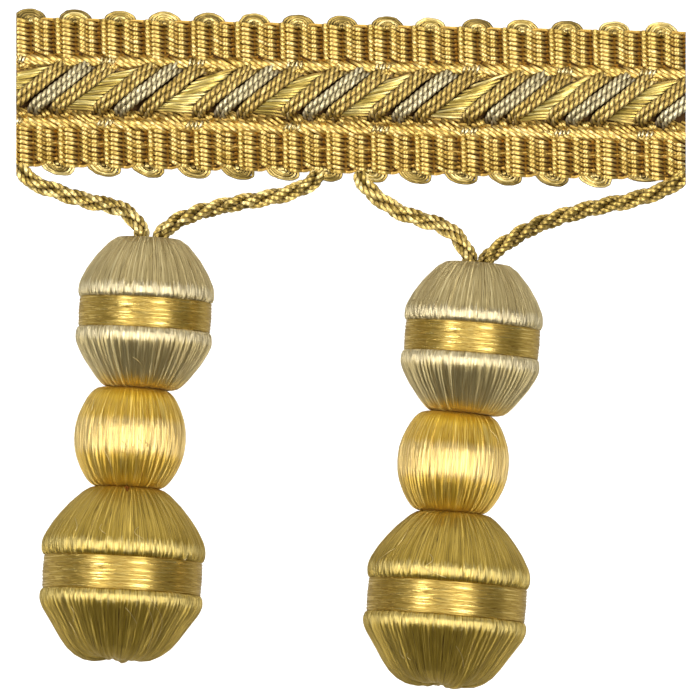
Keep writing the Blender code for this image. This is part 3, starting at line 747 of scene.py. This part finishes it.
def loopRoutes(edge):
    chance = random.Random(11 if edge == "upper" else 12)
    side = 1 if edge == "upper" else -1
    loops = list(range(15)) if edge == "upper" else [k + 0.5 for k in range(-1, 15)]
    skew = weftLoops["skew"][edge]
    first, last = weftLoops["smallBeyond"]
    steps = weftLoops["steps"]
    routes = []
    for loop in loops:
        small = edge == "lower" and not first <= loopX(loop, side * 11.0) <= last
        share = weftLoops["smallShare"] if small else 1.0
        courses = [(half, reach * share, weftLoops["backingHeight"], weftLoops["backingThickness"])
                   for half, reach in weftLoops["backing"]]
        for yarn in range(weftLoops["yarns"]):
            half = weftLoops["inner"] + weftLoops["spacing"] * yarn + chance.uniform(-0.06, 0.06)
            reach = (weftLoops["innerReach"] + weftLoops["reachStep"] * yarn) * share + chance.uniform(0, 0.1)
            height = weftLoops["height"] - weftLoops["heightStep"] * yarn + chance.uniform(-0.1, 0.1)
            courses.append((half, reach, height, 1.0))
        for half, reach, height, thickness in courses:
            route = []
            for k in range(-2, steps + 3):
                turn = math.pi * min(max(k, 0), steps) / steps
                bulge = math.sin(turn)
                beyond = max(-k, k - steps, 0)
                y = weftLoops["turnY"] + reach * bulge ** 0.85 - 0.25 * beyond
                x = loopX(loop, side * y) - half * math.cos(turn) * (1 + 0.04 * beyond)
                x += (skew * reach + 0.16 * chance.uniform(-1.0, 1.0)) * bulge
                route.append((x, side * y, height + 0.2 - 0.3 * bulge - 0.3 * beyond, thickness))
            route = clipRoute(route)
            if len(route) > 5:
                routes.append(route)
    return routes


loopYarn = {**warpYarn, "Step": 0.25 * mm, "Ply Radius": 0.225 * mm, "Wobble": 0.22 * mm,
            "Side Low": 0.4, "Side High": 0.92, "Material": finishes["edgeYarn"]}
for edge, seed in (("upper", 13), ("lower", 15)):
    growBraidYarn(edge + "WeftLoops", loopRoutes(edge), {**loopYarn, "Seed": seed})


# The cords laid slantwise over the core, in groups of gold, cream and gold.
# Centres are where each cream cord crosses centreY; the path is across from there, up, and height.
wraps = {
    "centres": (-43.6, -30.25, -15.5, -2.35, 10.95, 25.0, 37.4, 50.9),
    "centreY": 1.0,
    "spacing": 3.45,
    "path": ((-4.25, -3.3, 0.9), (-4.1, -2.9, 1.4), (-3.69, -2.0, 2.3), (-2.88, -1.25, 2.75),
             (-1.92, -0.5, 2.98), (-1.03, 0.25, 3.05), (0.0, 1.0, 3.05), (0.85, 1.75, 3.0),
             (1.75, 2.5, 2.85), (2.65, 3.25, 2.6), (3.54, 3.85, 2.1), (4.43, 4.3, 1.5), (5.0, 4.55, 0.95)),
}


def cordX(y):
    path = wraps["path"]
    for (x0, y0, _), (x1, y1, _) in zip(path, path[1:]):
        if y <= y1:
            return x0 + (x1 - x0) * (y - y0) / (y1 - y0)
    return path[-1][0]


def wrapRoute(group, offset, chance):
    centre = wraps["centres"][group] + offset + chance.uniform(-0.12, 0.12)
    spread = 1.0 + chance.uniform(-0.04, 0.04)
    return clipRoute([(centre + x * spread, y, z) for x, y, z in wraps["path"]])


# The groove and side lows and highs set where the painted shade between the plies and on the flanks begins
# and ends
wrapYarn = {"Step": 0.26 * mm, "Strands": 2, "Strand Offset": 0.48 * mm, "Strand Lay": 1000.0 * mm,
            "Start Turn": 0.25, "Shuffle": 0.0, "Plies": 3, "Ply Offset": 0.31 * mm, "Ply Lay": 2.9 * mm,
            "Ply Radius": 0.3 * mm, "Sides": 8, "Wobble": 0.5 * mm, "Wobble Scale": 260.0,
            "Rope Low": -1.0, "Rope High": -0.9, "Groove Low": 0.72, "Groove High": 0.95,
            "Side Low": 0.0, "Side High": 0.6}
cordGroups = {
    "goldCords": {"offsets": {"upper": -wraps["spacing"], "lower": wraps["spacing"]},
                  "finish": "cordYarn", "slot": "braid_yarn", "seed": 21},
    "creamCords": {"offsets": {"cream": 0.0}, "finish": "creamCord", "slot": "cream_cord", "seed": 22},
}
for name, cords in cordGroups.items():
    chance = random.Random(cords["seed"])
    routes = {}
    for group in range(len(wraps["centres"])):
        for place, offset in cords["offsets"].items():
            node = f"wrap_{group + 1}_{place}"
            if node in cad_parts:
                routes[node] = wrapRoute(group, offset, chance)
    values = {**wrapYarn, "Seed": cords["seed"], "Material": finishes[cords["finish"]]}
    growBraidYarn(name, routes.values(), values, list(routes))


# Floss core: flat strands that show between the groups, nearly level, fanned a little at the top
core = {"strands": 15, "low": -2.5, "high": 3.5, "reach": 3.0, "crown": 2.55, "firstBefore": 6.9}


def coreRoutes():
    chance = random.Random(31)
    centres = wraps["centres"]
    middles = [centres[0] - core["firstBefore"]] + [(a + b) / 2 for a, b in zip(centres, centres[1:])]
    routes = []
    for middle in middles:
        fan = chance.uniform(-7.0, 6.0)
        for layer in (0, 1):
            for k in range(core["strands"]):
                share = (k + 0.5 * layer + 0.25) / core["strands"]
                y = core["low"] + (core["high"] - core["low"]) * share + chance.uniform(-0.08, 0.08)
                tilt = math.radians(fan + 20.0 * share + chance.uniform(-5.0, 5.0))
                reach = core["reach"] + chance.uniform(-0.2, 0.2)
                crown = core["crown"] - 0.3 * layer - 1.3 * abs(share - 0.5) ** 2 + chance.uniform(-0.15, 0.1)
                route = []
                for step in range(9):
                    t = step / 4 - 1
                    x = middle + cordX(y) + reach * t * math.cos(tilt)
                    thickness = 0.8 + 0.3 * chance.random()
                    route.append((x, y + reach * t * math.sin(tilt), crown - 0.5 * t * t, thickness))
                route = clipRoute(route)
                if len(route) > 2:
                    routes.append(route)
    return routes


coreYarn = {"Step": 0.5 * mm, "Plies": 1, "Ply Offset": 0.0, "Ply Lay": 12 * mm, "Ply Radius": 0.23 * mm,
            "Sides": 6, "Wobble": 0.3 * mm, "Wobble Scale": 350.0, "Seed": 33, "Side Low": 0.0,
            "Side High": 0.6, "Material": finishes["coreFloss"]}
growBraidYarn("coreFloss", coreRoutes(), coreYarn, ["floss_core"])


# Borders: floats that slant down to the right along both sides of the channel, with clusters of tight
# stitches over them. Places in the clusters are across and up from where a cream cord crosses centreY.
borders = {
    "spacing": 1.0,
    "across": 3.4,
    "upper": (5.6, 3.85),
    "lower": (-3.55, -5.4),
    "floats": range(-62, 60),
    "groupPitch": 13.5,
    "stitches": ((5.8, 4.2, 6.2, 5.5), (6.4, 4.2, 6.9, 5.5), (7.05, 4.2, 7.5, 5.45), (7.7, 4.2, 8.1, 5.4),
                 (5.5, -5.1, 6.1, -3.9), (6.1, -5.1, 6.75, -3.85), (6.8, -5.1, 7.4, -3.85),
                 (7.4, -5.05, 8.0, -3.85)),
    "fan": ((1.6, -2.9, 4.5, -4.7), (2.6, -2.75, 5.3, -4.6), (3.5, -2.7, 5.9, -4.2),
            (-6.6, 3.6, -5.0, 4.3), (-5.9, 3.5, -4.4, 4.2), (-6.4, -2.7, -5.4, -3.9),
            (-5.9, -2.6, -4.9, -3.8), (-2.9, -2.7, -1.9, -3.9), (-2.4, -2.6, -1.4, -3.8),
            (0.5, -2.7, 1.5, -3.9)),
    "channelRows": (-4.3, -3.5, -2.8, 3.5, 4.3),
    "channelStitches": range(-41, 41),
    "channelPitch": 1.25,
    "channelAcross": 1.7,
    "sewingY": -7.55,
}


def floatRoute(x0, y0, x1, y1, crown, chance):
    ends = [Vector((x + chance.uniform(-0.15, 0.15), y + chance.uniform(-0.1, 0.1)))
            for x, y in ((x0, y0), (x1, y1))]
    route = []
    for step, height in enumerate((0.9, 0.8 * crown, crown, crown, 0.85 * crown, 0.9)):
        spot = ends[0].lerp(ends[1], -0.1 + 1.2 * step / 5)
        route.append((spot.x, spot.y, height, chance.uniform(0.88, 1.08)))
    return clipRoute(route)


def longEnough(routes):
    return [route for route in routes if len(route) > 3]


def borderRoutes():
    chance = random.Random(51)
    routes = []
    for side in ("upper", "lower"):
        first, last = borders[side]
        for k in borders["floats"]:
            x = k * borders["spacing"]
            crown = 1.95 + chance.uniform(-0.06, 0.08)
            routes.append(floatRoute(x, first, x + borders["across"], last, crown, chance))
    return longEnough(routes)


def clusterRoutes(kind, crown):
    chance = random.Random(52)
    centres = wraps["centres"]
    centres = (centres[0] - borders["groupPitch"], *centres, centres[-1] + borders["groupPitch"])
    return longEnough([floatRoute(centre + x0, y0, centre + x1, y1, crown, chance)
                       for centre in centres for x0, y0, x1, y1 in borders[kind]])


def channelRoutes():
    chance = random.Random(54)
    routes = []
    for y in borders["channelRows"]:
        for k in borders["channelStitches"]:
            x = borders["channelPitch"] * k + chance.uniform(-0.3, 0.3)
            drop = chance.uniform(0.2, 0.9)
            crown = chance.uniform(1.3, 1.6)
            end = x + borders["channelAcross"]
            routes.append(floatRoute(x, y + drop / 2, end, y - drop / 2, crown, chance))
    return longEnough(routes)


def sewingRoute():
    chance = random.Random(53)
    route = []
    for step in range(-2, 4 * braid["passes"] + 2):
        index = step / 4
        height = 1.45 + 0.3 * math.cos(2 * math.pi * index) + chance.uniform(-0.04, 0.04)
        y = borders["sewingY"] + chance.uniform(-0.08, 0.08)
        route.append((passX(index, y), y, height))
    return clipRoute(route)


borderYarn = {**loopYarn, "Side Low": 0.1, "Side High": 0.7}
for name, routes, seed, radius, step, finish in (
        ("borderFloats", borderRoutes(), 55, 0.28, 0.25, "braidYarn"),
        ("borderStitches", clusterRoutes("fan", 2.3), 56, 0.23, 0.25, "braidYarn"),
        ("tieStitches", clusterRoutes("stitches", 2.45), 59, 0.2, 0.25, "tieYarn"),
        ("channelStitches", channelRoutes(), 58, 0.25, 0.4, "stitchYarn"),
        ("sewingLine", [sewingRoute()], 57, 0.17, 0.25, "stitchYarn")):
    growBraidYarn(name, routes, {**borderYarn, "Seed": seed, "Ply Radius": radius * mm, "Step": step * mm,
                                 "Material": finishes[finish]})
finishPiece(ground, ["braid_tape"])


# Hanging cords: loose rope of three strands, each of three yarns
hangingRoutes = {
    "loop_cord_1_left": (
        (-49.4, -10.9, 1.25), (-48.8, -12.0, 1.32), (-48.0, -13.2, 1.32), (-46.2, -14.0, 1.35),
        (-43.3, -15.0, 1.6), (-40.3, -15.9, 2.5), (-37.6, -16.5, 4.0), (-35.3, -16.9, 5.6),
        (-33.3, -17.7, 7.0), (-31.9, -19.0, 8.1), (-31.0, -20.6, 8.7), (-30.75, -22.05, 8.8)),
    "loop_cord_1_right": (
        (-4.3, -10.7, 0.8), (-5.2, -12.2, 1.2), (-7.4, -13.7, 1.32), (-10.4, -14.7, 1.35),
        (-13.6, -15.4, 1.5), (-16.4, -15.9, 2.2), (-19.3, -16.6, 3.8), (-22.2, -17.4, 5.9),
        (-24.6, -18.4, 7.8), (-26.5, -19.5, 9.2), (-27.7, -20.8, 10.0), (-28.1, -22.05, 10.1)),
    "loop_cord_2_left": (
        (1.7, -11.0, 1.2), (2.3, -12.7, 1.32), (3.6, -14.1, 1.32), (5.8, -15.7, 1.4), (7.9, -16.9, 1.8),
        (10.7, -17.8, 2.8), (13.2, -18.5, 4.2), (15.3, -19.5, 5.8), (16.9, -21.1, 7.2),
        (18.0, -22.9, 8.2), (18.5, -24.75, 8.4)),
    "loop_cord_2_right": (
        (51.4, -9.9, 1.3), (49.6, -11.0, 1.32), (47.6, -12.4, 1.32), (45.6, -13.2, 1.32),
        (43.5, -13.9, 1.32), (40.7, -14.7, 1.35), (38.0, -15.2, 1.5), (35.0, -16.0, 2.0),
        (31.8, -17.0, 3.1), (28.7, -18.2, 5.1), (25.8, -19.7, 7.5), (23.1, -21.5, 9.6),
        (21.2, -23.1, 10.7), (20.4, -24.75, 10.8)),
}
# Rope Low and Rope High: painted shade where the strands meet in the middle of the rope
hangingYarn = {"Step": 0.24 * mm, "Strands": 3, "Strand Offset": 0.64 * mm, "Strand Lay": 12.0 * mm,
               "Shuffle": 0.0, "Plies": 3, "Ply Offset": 0.36 * mm, "Ply Lay": -3.2 * mm,
               "Ply Radius": 0.33 * mm, "Sides": 6, "Wobble": 0.2 * mm, "Wobble Scale": 350.0, "Seed": 41,
               "Rope Low": 0.45, "Rope High": 0.75, "Material": finishes["edgeYarn"]}
piece = growPiece("hangingCords", routeObject("hangingCords", hangingRoutes.values()), yarnTree, hangingYarn)
cutEnds(piece)
finishPiece(piece, list(hangingRoutes))
print("heading and cords made")


# Beads: a profile turned about the string, with the ridges of the floss wound over it
def makeBeadTree():
    tree, given, result = newTree("turnBead", "GeometryNodeTree", {
        "Profile": "Geometry", "Columns": 240, "Rows": 60, "Floss Around": 80.0, "Floss Along": 2.0,
        "Floss Depth": 0.0004, "Windings": 0.0, "Winding Depth": 0.0, "Full Radius": 0.01, "Sway": 0.0,
        "Sway Around": 9.0, "Jag": 0.0, "Winding Shift": 0.6, "Winding Floor": 0.6, "Lobes": 0.0,
        "Lobe Scale": 1.5, "Lobe Start": 0.62, "Lobe Rise": 3.0, "Seed": 1.0, "Material": "Material",
    }, {"Mesh": "Geometry"})
    line = add(tree, "GeometryNodeMeshToCurve", given["Profile"]).outputs[0]
    columns = plus(tree, given["Columns"], 1.0)
    grid = add(tree, "GeometryNodeMeshGrid", 1.0, 1.0, columns, given["Rows"])
    place = add(tree, "ShaderNodeSeparateXYZ", add(tree, "GeometryNodeInputPosition").outputs[0])
    u = plus(tree, place.outputs["X"], 0.5)
    v = plus(tree, place.outputs["Y"], 0.5)
    mapped = storeField(tree, grid.outputs["Mesh"], "CORNER", "FLOAT2", "UVMap", joinXyz(tree, u, v, 0.0))
    angle = times(tree, u, 2 * math.pi)
    wander = noise(tree, ringPlace(tree, angle, given["Sway Around"], given["Seed"]), 1.0, 4.0)
    swing = times(tree, minus(tree, wander, 0.5), given["Sway"])
    swing = times(tree, swing, calc(tree, "SINE", times(tree, v, math.pi)))
    reach = divided(tree, given["Floss Around"], 2 * math.pi)
    along = plus(tree, times(tree, v, given["Floss Along"]), given["Seed"])
    clumps = noise(tree, ringPlace(tree, angle, reach, along), 1.0)
    swing = calc(tree, "MULTIPLY_ADD", minus(tree, clumps, 0.5), given["Jag"], swing)
    spot = add(tree, "GeometryNodeSampleCurve", mode="FACTOR", use_all_curves=False)
    feed(tree, spot.inputs["Curves"], line)
    feed(tree, spot.inputs["Factor"], plus(tree, v, swing))
    profile = add(tree, "ShaderNodeSeparateXYZ", spot.outputs["Position"])
    share = divided(tree, profile.outputs["X"], given["Full Radius"])
    ridge = times(tree, minus(tree, clumps, 0.5), times(tree, given["Floss Depth"], share))
    wave = plus(tree, times(tree, v, given["Windings"]), u)
    wave = calc(tree, "MULTIPLY_ADD", clumps, given["Winding Shift"], wave)
    turns = calc(tree, "ABSOLUTE", calc(tree, "SINE", times(tree, wave, math.pi)))
    winding = times(tree, minus(tree, turns, given["Winding Floor"]), given["Winding Depth"])
    radius = plus(tree, profile.outputs["X"], plus(tree, ridge, winding))
    radius = calc(tree, "MAXIMUM", radius, 0.0)
    lobes = noise(tree, ringPlace(tree, angle, 1.0, given["Seed"]), given["Lobe Scale"])
    ending = times(tree, minus(tree, v, given["Lobe Start"]), given["Lobe Rise"])
    ending = calc(tree, "MAXIMUM", ending, 0.0)
    sag = times(tree, minus(tree, lobes, 0.5), given["Lobes"])
    sag = times(tree, sag, calc(tree, "MINIMUM", ending, 1.0))
    turned = add(tree, "GeometryNodeSetPosition", mapped)
    target = ringPlace(tree, angle, radius, plus(tree, profile.outputs["Z"], sag))
    feed(tree, turned.inputs["Position"], target)
    closed = add(tree, "GeometryNodeMergeByDistance", turned.outputs[0])
    feed(tree, closed.inputs["Distance"], 1e-6)
    endTree(tree, result, closed.outputs[0], given["Material"])
    return tree


beadTree = makeBeadTree()

# Profiles: distance down the string and radius
beads = {
    "top": {
        "profile": ((1.0, 0.0), (0.9, 3.0), (0.4, 3.5), (0.0, 4.0), (0.1, 4.7), (0.9, 5.9), (3.0, 7.75),
                    (5.0, 9.05), (6.7, 9.85), (7.35, 10.08), (8.1, 10.15), (8.85, 10.12), (9.25, 9.95),
                    (9.45, 9.5), (9.6, 8.9), (13.5, 8.9), (13.65, 9.5), (13.9, 9.95), (14.4, 10.14),
                    (15.3, 10.2), (15.9, 10.1), (16.9, 9.7), (18.6, 8.75), (21.0, 7.0), (22.0, 6.1),
                    (22.45, 5.5), (22.65, 4.8), (22.65, 0.0)),
        "length": 22.5, "rest": (8.1, 10.15), "finish": "creamFloss", "slot": "cream_floss",
        "floss": {"Columns": 340, "Rows": 70, "Floss Around": 175.0, "Floss Along": 2.2,
                  "Floss Depth": 0.34 * mm}},
    "middle": {
        "profile": ((-0.15, 0.0), (-0.15, 4.6), (0.05, 5.3), (0.4, 5.8), (0.8, 6.2), (1.6, 6.75),
                    (2.8, 7.35), (4.2, 7.9), (5.7, 8.25), (7.5, 8.35), (9.2, 8.2), (10.7, 7.8),
                    (12.1, 7.2), (13.2, 6.55), (13.9, 6.05), (14.4, 5.5), (14.75, 4.8), (14.75, 0.0)),
        "length": 14.6, "finish": "amberFloss", "slot": "amber_floss",
        "floss": {"Columns": 280, "Rows": 48, "Floss Around": 140.0, "Floss Along": 1.8,
                  "Floss Depth": 0.32 * mm}},
    "bottom": {
        "profile": ((-0.15, 0.0), (-0.15, 4.8), (0.1, 5.6), (0.7, 6.5), (2.4, 8.3), (4.0, 9.65), (5.6, 10.8),
                    (7.3, 11.75), (8.2, 12.1), (8.9, 12.2), (9.8, 12.17), (10.4, 11.95),
                    (10.65, 11.4), (10.8, 10.7), (15.2, 10.7), (15.35, 11.4), (15.6, 11.95),
                    (16.1, 12.15), (16.9, 12.2), (17.4, 12.08), (18.3, 11.7), (20.9, 9.95), (22.6, 8.85),
                    (24.0, 7.75), (25.0, 6.5), (25.6, 5.1), (25.75, 3.6), (25.5, 2.2), (25.1, 1.0),
                    (25.0, 0.0)),
        "length": 25.7, "rest": (8.9, 12.2), "finish": "oliveFloss", "slot": "olive_floss",
        "floss": {"Columns": 380, "Rows": 74, "Floss Around": 200.0, "Floss Along": 2.4,
                  "Floss Depth": 0.38 * mm, "Lobes": 4.0 * mm}},
}
beadFloss = {"Full Radius": 10 * mm, "Sway": 0.02, "Jag": 0.05}
bands = {
    "top": {"span": (9.3, 13.8), "radius": 9.86, "windings": 21.0},
    "bottom": {"span": (10.5, 15.5), "radius": 11.85, "windings": 23.0},
}
bandEdge = {"inset": 0.9, "drop": 0.12, "bevel": 0.15, "crown": 0.08}
bandFloss = {"Columns": 130, "Rows": 80, "Floss Around": 16.0, "Floss Along": 18.0,
             "Floss Depth": 0.09 * mm, "Winding Depth": 0.1 * mm, "Full Radius": 10 * mm}

# As in the solids: facets round a bead, gap between beads, and depth of the flat spot they rest on
stringing = {"facets": 24, "gap": 0.3, "flatSpot": 0.12}
tassels = {
    1: {"x": -30.3, "y": -21.5, "lean": 1.95, "topScale": 1.0, "shifts": (0.6, -0.6, -0.6)},
    2: {"x": 19.2, "y": -24.2, "lean": 3.3, "topScale": 1.02, "shifts": (0.35, -1.0, -0.35)},
}


def bandProfile(band):
    low, high = band["span"]
    radius = band["radius"]
    inner = radius - bandEdge["inset"]
    outer = radius - bandEdge["drop"]
    bevel = bandEdge["bevel"]
    return ((low, inner), (low, outer), (low + bevel, radius), ((low + high) / 2, radius + bandEdge["crown"]),
            (high - bevel, radius), (high, outer), (high, inner), (low, inner))


# The string leans and rises so that the first and last bead both touch the floor
def tasselPlaces(tassel):
    apothem = math.cos(math.pi / stringing["facets"])
    middleStart = beads["top"]["length"] + stringing["gap"]
    bottomStart = middleStart + beads["middle"]["length"] + stringing["gap"]
    restTop, radiusTop = beads["top"]["rest"]
    restBottom, radiusBottom = beads["bottom"]["rest"]
    radiusTop *= tassel["topScale"] * apothem
    radiusBottom *= apothem
    rise = math.atan2(radiusBottom - radiusTop, bottomStart + restBottom - restTop)
    height = radiusTop * math.cos(rise) - restTop * math.sin(rise) - stringing["flatSpot"]
    lean = math.radians(tassel["lean"])
    down = Vector((-math.sin(lean) * math.cos(rise), -math.cos(lean) * math.cos(rise), math.sin(rise)))
    right = Vector((math.cos(lean), -math.sin(lean), 0.0))
    up = -right.cross(down)
    end = Vector((tassel["x"], tassel["y"], height))
    axes = Matrix((right, up, -down)).transposed().to_4x4()
    places = {}
    for kind, start, shift in zip(beads, (0.0, middleStart, bottomStart), tassel["shifts"]):
        places[kind] = Matrix.Translation((end + down * start + right * shift) * mm) @ axes
    return places


def turnPiece(name, profile, scale, place, values, node):
    route = [(radius * scale, 0.0, -down) for down, radius in profile]
    piece = growPiece(name, routeObject(name, [route]), beadTree, values)
    cleanMesh(piece, 2e-6)
    piece.data.transform(place)
    restOnFloor(piece)
    finishPiece(piece, [node])


beadPlaces = {}
for number, tassel in tassels.items():
    for kind, place in tasselPlaces(tassel).items():
        beadPlaces[kind, number] = place
        bead = beads[kind]
        scale = tassel["topScale"] if kind == "top" else 1.0
        values = {**beadFloss, **bead["floss"], "Seed": 3.7 * number, "Material": finishes[bead["finish"]]}
        turnPiece(f"{kind}Bead{number}", bead["profile"], scale, place, values,
                  f"{kind}_bead_{number}")
        if kind in bands:
            band = bands[kind]
            values = {**bandFloss, "Windings": band["windings"], "Seed": 5.1 * number,
                      "Material": finishes["yellowFloss"]}
            turnPiece(f"{kind}Band{number}", bandProfile(band), scale, place, values,
                      f"{kind}_band_{number}")


# Stray hairs over the beads, and the knot at the foot of the first ball.
# Each: angle from the top of the bead, distance down the string, and how far both change along the hair
hairs = {
    "count": 14,
    "lift": 0.17,
    "placed": (("top", 1, -8.0, 10.5, -10.0, -4.0), ("top", 1, -20.0, 11.5, 22.0, -1.6),
               ("top", 1, 2.0, 3.5, 8.0, -3.6), ("top", 1, 0.0, 21.0, 6.0, 1.2),
               ("bottom", 1, 24.0, 17.5, 16.0, 5.0), ("bottom", 1, 20.0, 18.0, 14.0, 6.0),
               ("middle", 1, -30.0, 9.0, 10.0, 3.5),
               ("top", 2, 12.0, 9.0, 10.0, 3.0), ("top", 2, -15.0, 2.0, -6.0, 4.0),
               ("bottom", 2, -20.0, 8.5, 18.0, 1.6), ("bottom", 2, 10.0, 20.0, 12.0, 3.0)),
    "knot": ((-4.0, -0.3, 8.0, 0.4), (3.0, -0.5, -6.0, 0.7), (-1.0, -0.6, 2.0, 1.2)),
}


def beadRadius(kind, down):
    profile = beads[kind]["profile"]
    for (low, near), (high, far) in zip(profile, profile[1:]):
        if low <= down < high:
            return near + (far - near) * (down - low) / (high - low)
    return profile[-2][1]


def hairRoute(kind, number, angle, down, turn, fall, lift, chance):
    route = []
    bend = chance.uniform(-5.0, 5.0)
    for step in range(9):
        t = step / 8
        turned = math.radians(angle + turn * t + bend * math.sin(math.pi * t))
        place = down + fall * t
        radius = beadRadius(kind, place) + lift * (0.25 + math.sin(math.pi * t))
        spot = Vector((math.sin(turned) * radius, math.cos(turned) * radius, -place))
        route.append(tuple(value / mm for value in beadPlaces[kind, number] @ (spot * mm)))
    return route


def hairRoutes():
    chance = random.Random(91)
    routes = [hairRoute(*hair, hairs["lift"], chance) for hair in hairs["placed"]]
    for number in tassels:
        for hair in range(hairs["count"]):
            kind = chance.choice(("top", "middle", "bottom", "bottom"))
            down = chance.uniform(1.5, beads[kind]["length"] - 3.0)
            angle = chance.uniform(-70.0, 70.0)
            fall = chance.uniform(0.6, 2.6)
            routes.append(hairRoute(kind, number, angle, down, chance.uniform(-14.0, 14.0), fall,
                                    hairs["lift"] * chance.uniform(0.6, 1.6), chance))
    return routes


def knotRoutes():
    chance = random.Random(92)
    return [hairRoute("bottom", 1, *part, 0.5, chance) for part in hairs["knot"]]


hairYarn = {"Step": 0.4 * mm, "Plies": 1, "Ply Offset": 0.0, "Ply Lay": 2.0 * mm, "Sides": 4,
            "Wobble": 0.3 * mm, "Wobble Scale": 300.0, "Seed": 93}
for name, routes, radius, finish, slot in (
        ("strayHairs", hairRoutes(), 0.035, "hairYarn", "cream_floss"),
        ("tasselKnot", knotRoutes(), 0.13, "knotYarn", "amber_floss")):
    piece = growPiece(name, routeObject(name, routes), yarnTree,
                      {**hairYarn, "Ply Radius": radius * mm, "Material": finishes[finish]})
    restOnFloor(piece)
    finishPiece(piece)
print("beads and hairs made")


# Floor, lights and surroundings
studio = {
    "floor": {"Base Color": (0.38, 0.38, 0.377, 1.0), "Roughness": 0.8, "Specular IOR Level": 0.1,
              "Emission Color": (1.0, 1.0, 0.995, 1.0)},
    "floorHalf": 3.0,
    "floorGlow": 0.85,
    "floorBounce": 0.12,
    "world": {"Color": (1.0, 0.99, 0.97, 1.0), "Strength": 0.08},
    "aim": (0.0, -0.035, 0.0),
    "lights": (
        ("leftLight", (-0.33, -0.05, 0.5), (0.42, 0.12), 4.3),
        ("rightLight", (0.25, -0.05, 0.55), (0.42, 0.26), 5.0),
        ("topLight", (0.0, 0.5, 0.27), (0.35, 0.56), 2.6),
    ),
}


# The floor glows more for the camera than for other rays, so it is pale but lights little from below
def makeStudio():
    half = studio["floorHalf"]
    mesh = bpy.data.meshes.new("floor")
    corners = [(x * half, y * half, 0) for x, y in ((-1, -1), (1, -1), (1, 1), (-1, 1))]
    mesh.from_pydata(corners, [], [(0, 1, 2, 3)])
    material = bpy.data.materials.new("paleFloor")
    material.use_nodes = True
    tree = material.node_tree
    shader = tree.nodes["Principled BSDF"]
    for label, value in studio["floor"].items():
        shader.inputs[label].default_value = value
    seen = add(tree, "ShaderNodeLightPath").outputs["Is Camera Ray"]
    bounce = studio["floorBounce"]
    glow = calc(tree, "MULTIPLY_ADD", seen, studio["floorGlow"] - bounce, bounce)
    feed(tree, shader.inputs["Emission Strength"], glow)
    mesh.materials.append(material)
    newObject("floor", mesh)
    for name, place, size, power in studio["lights"]:
        data = bpy.data.lights.new(name, "AREA")
        data.shape = "RECTANGLE"
        data.size, data.size_y = size
        data.energy = power
        light = newObject(name, data)
        light.location = place
        aim = Vector(studio["aim"]) - Vector(place)
        light.rotation_euler = aim.to_track_quat("-Z", "Y").to_euler()
    world = bpy.data.worlds.new("surroundings")
    world.use_nodes = True
    for label, value in studio["world"].items():
        world.node_tree.nodes["Background"].inputs[label].default_value = value
    bpy.context.scene.world = world
    bpy.context.scene.view_settings.view_transform = "Standard"


makeStudio()
print("studio made")
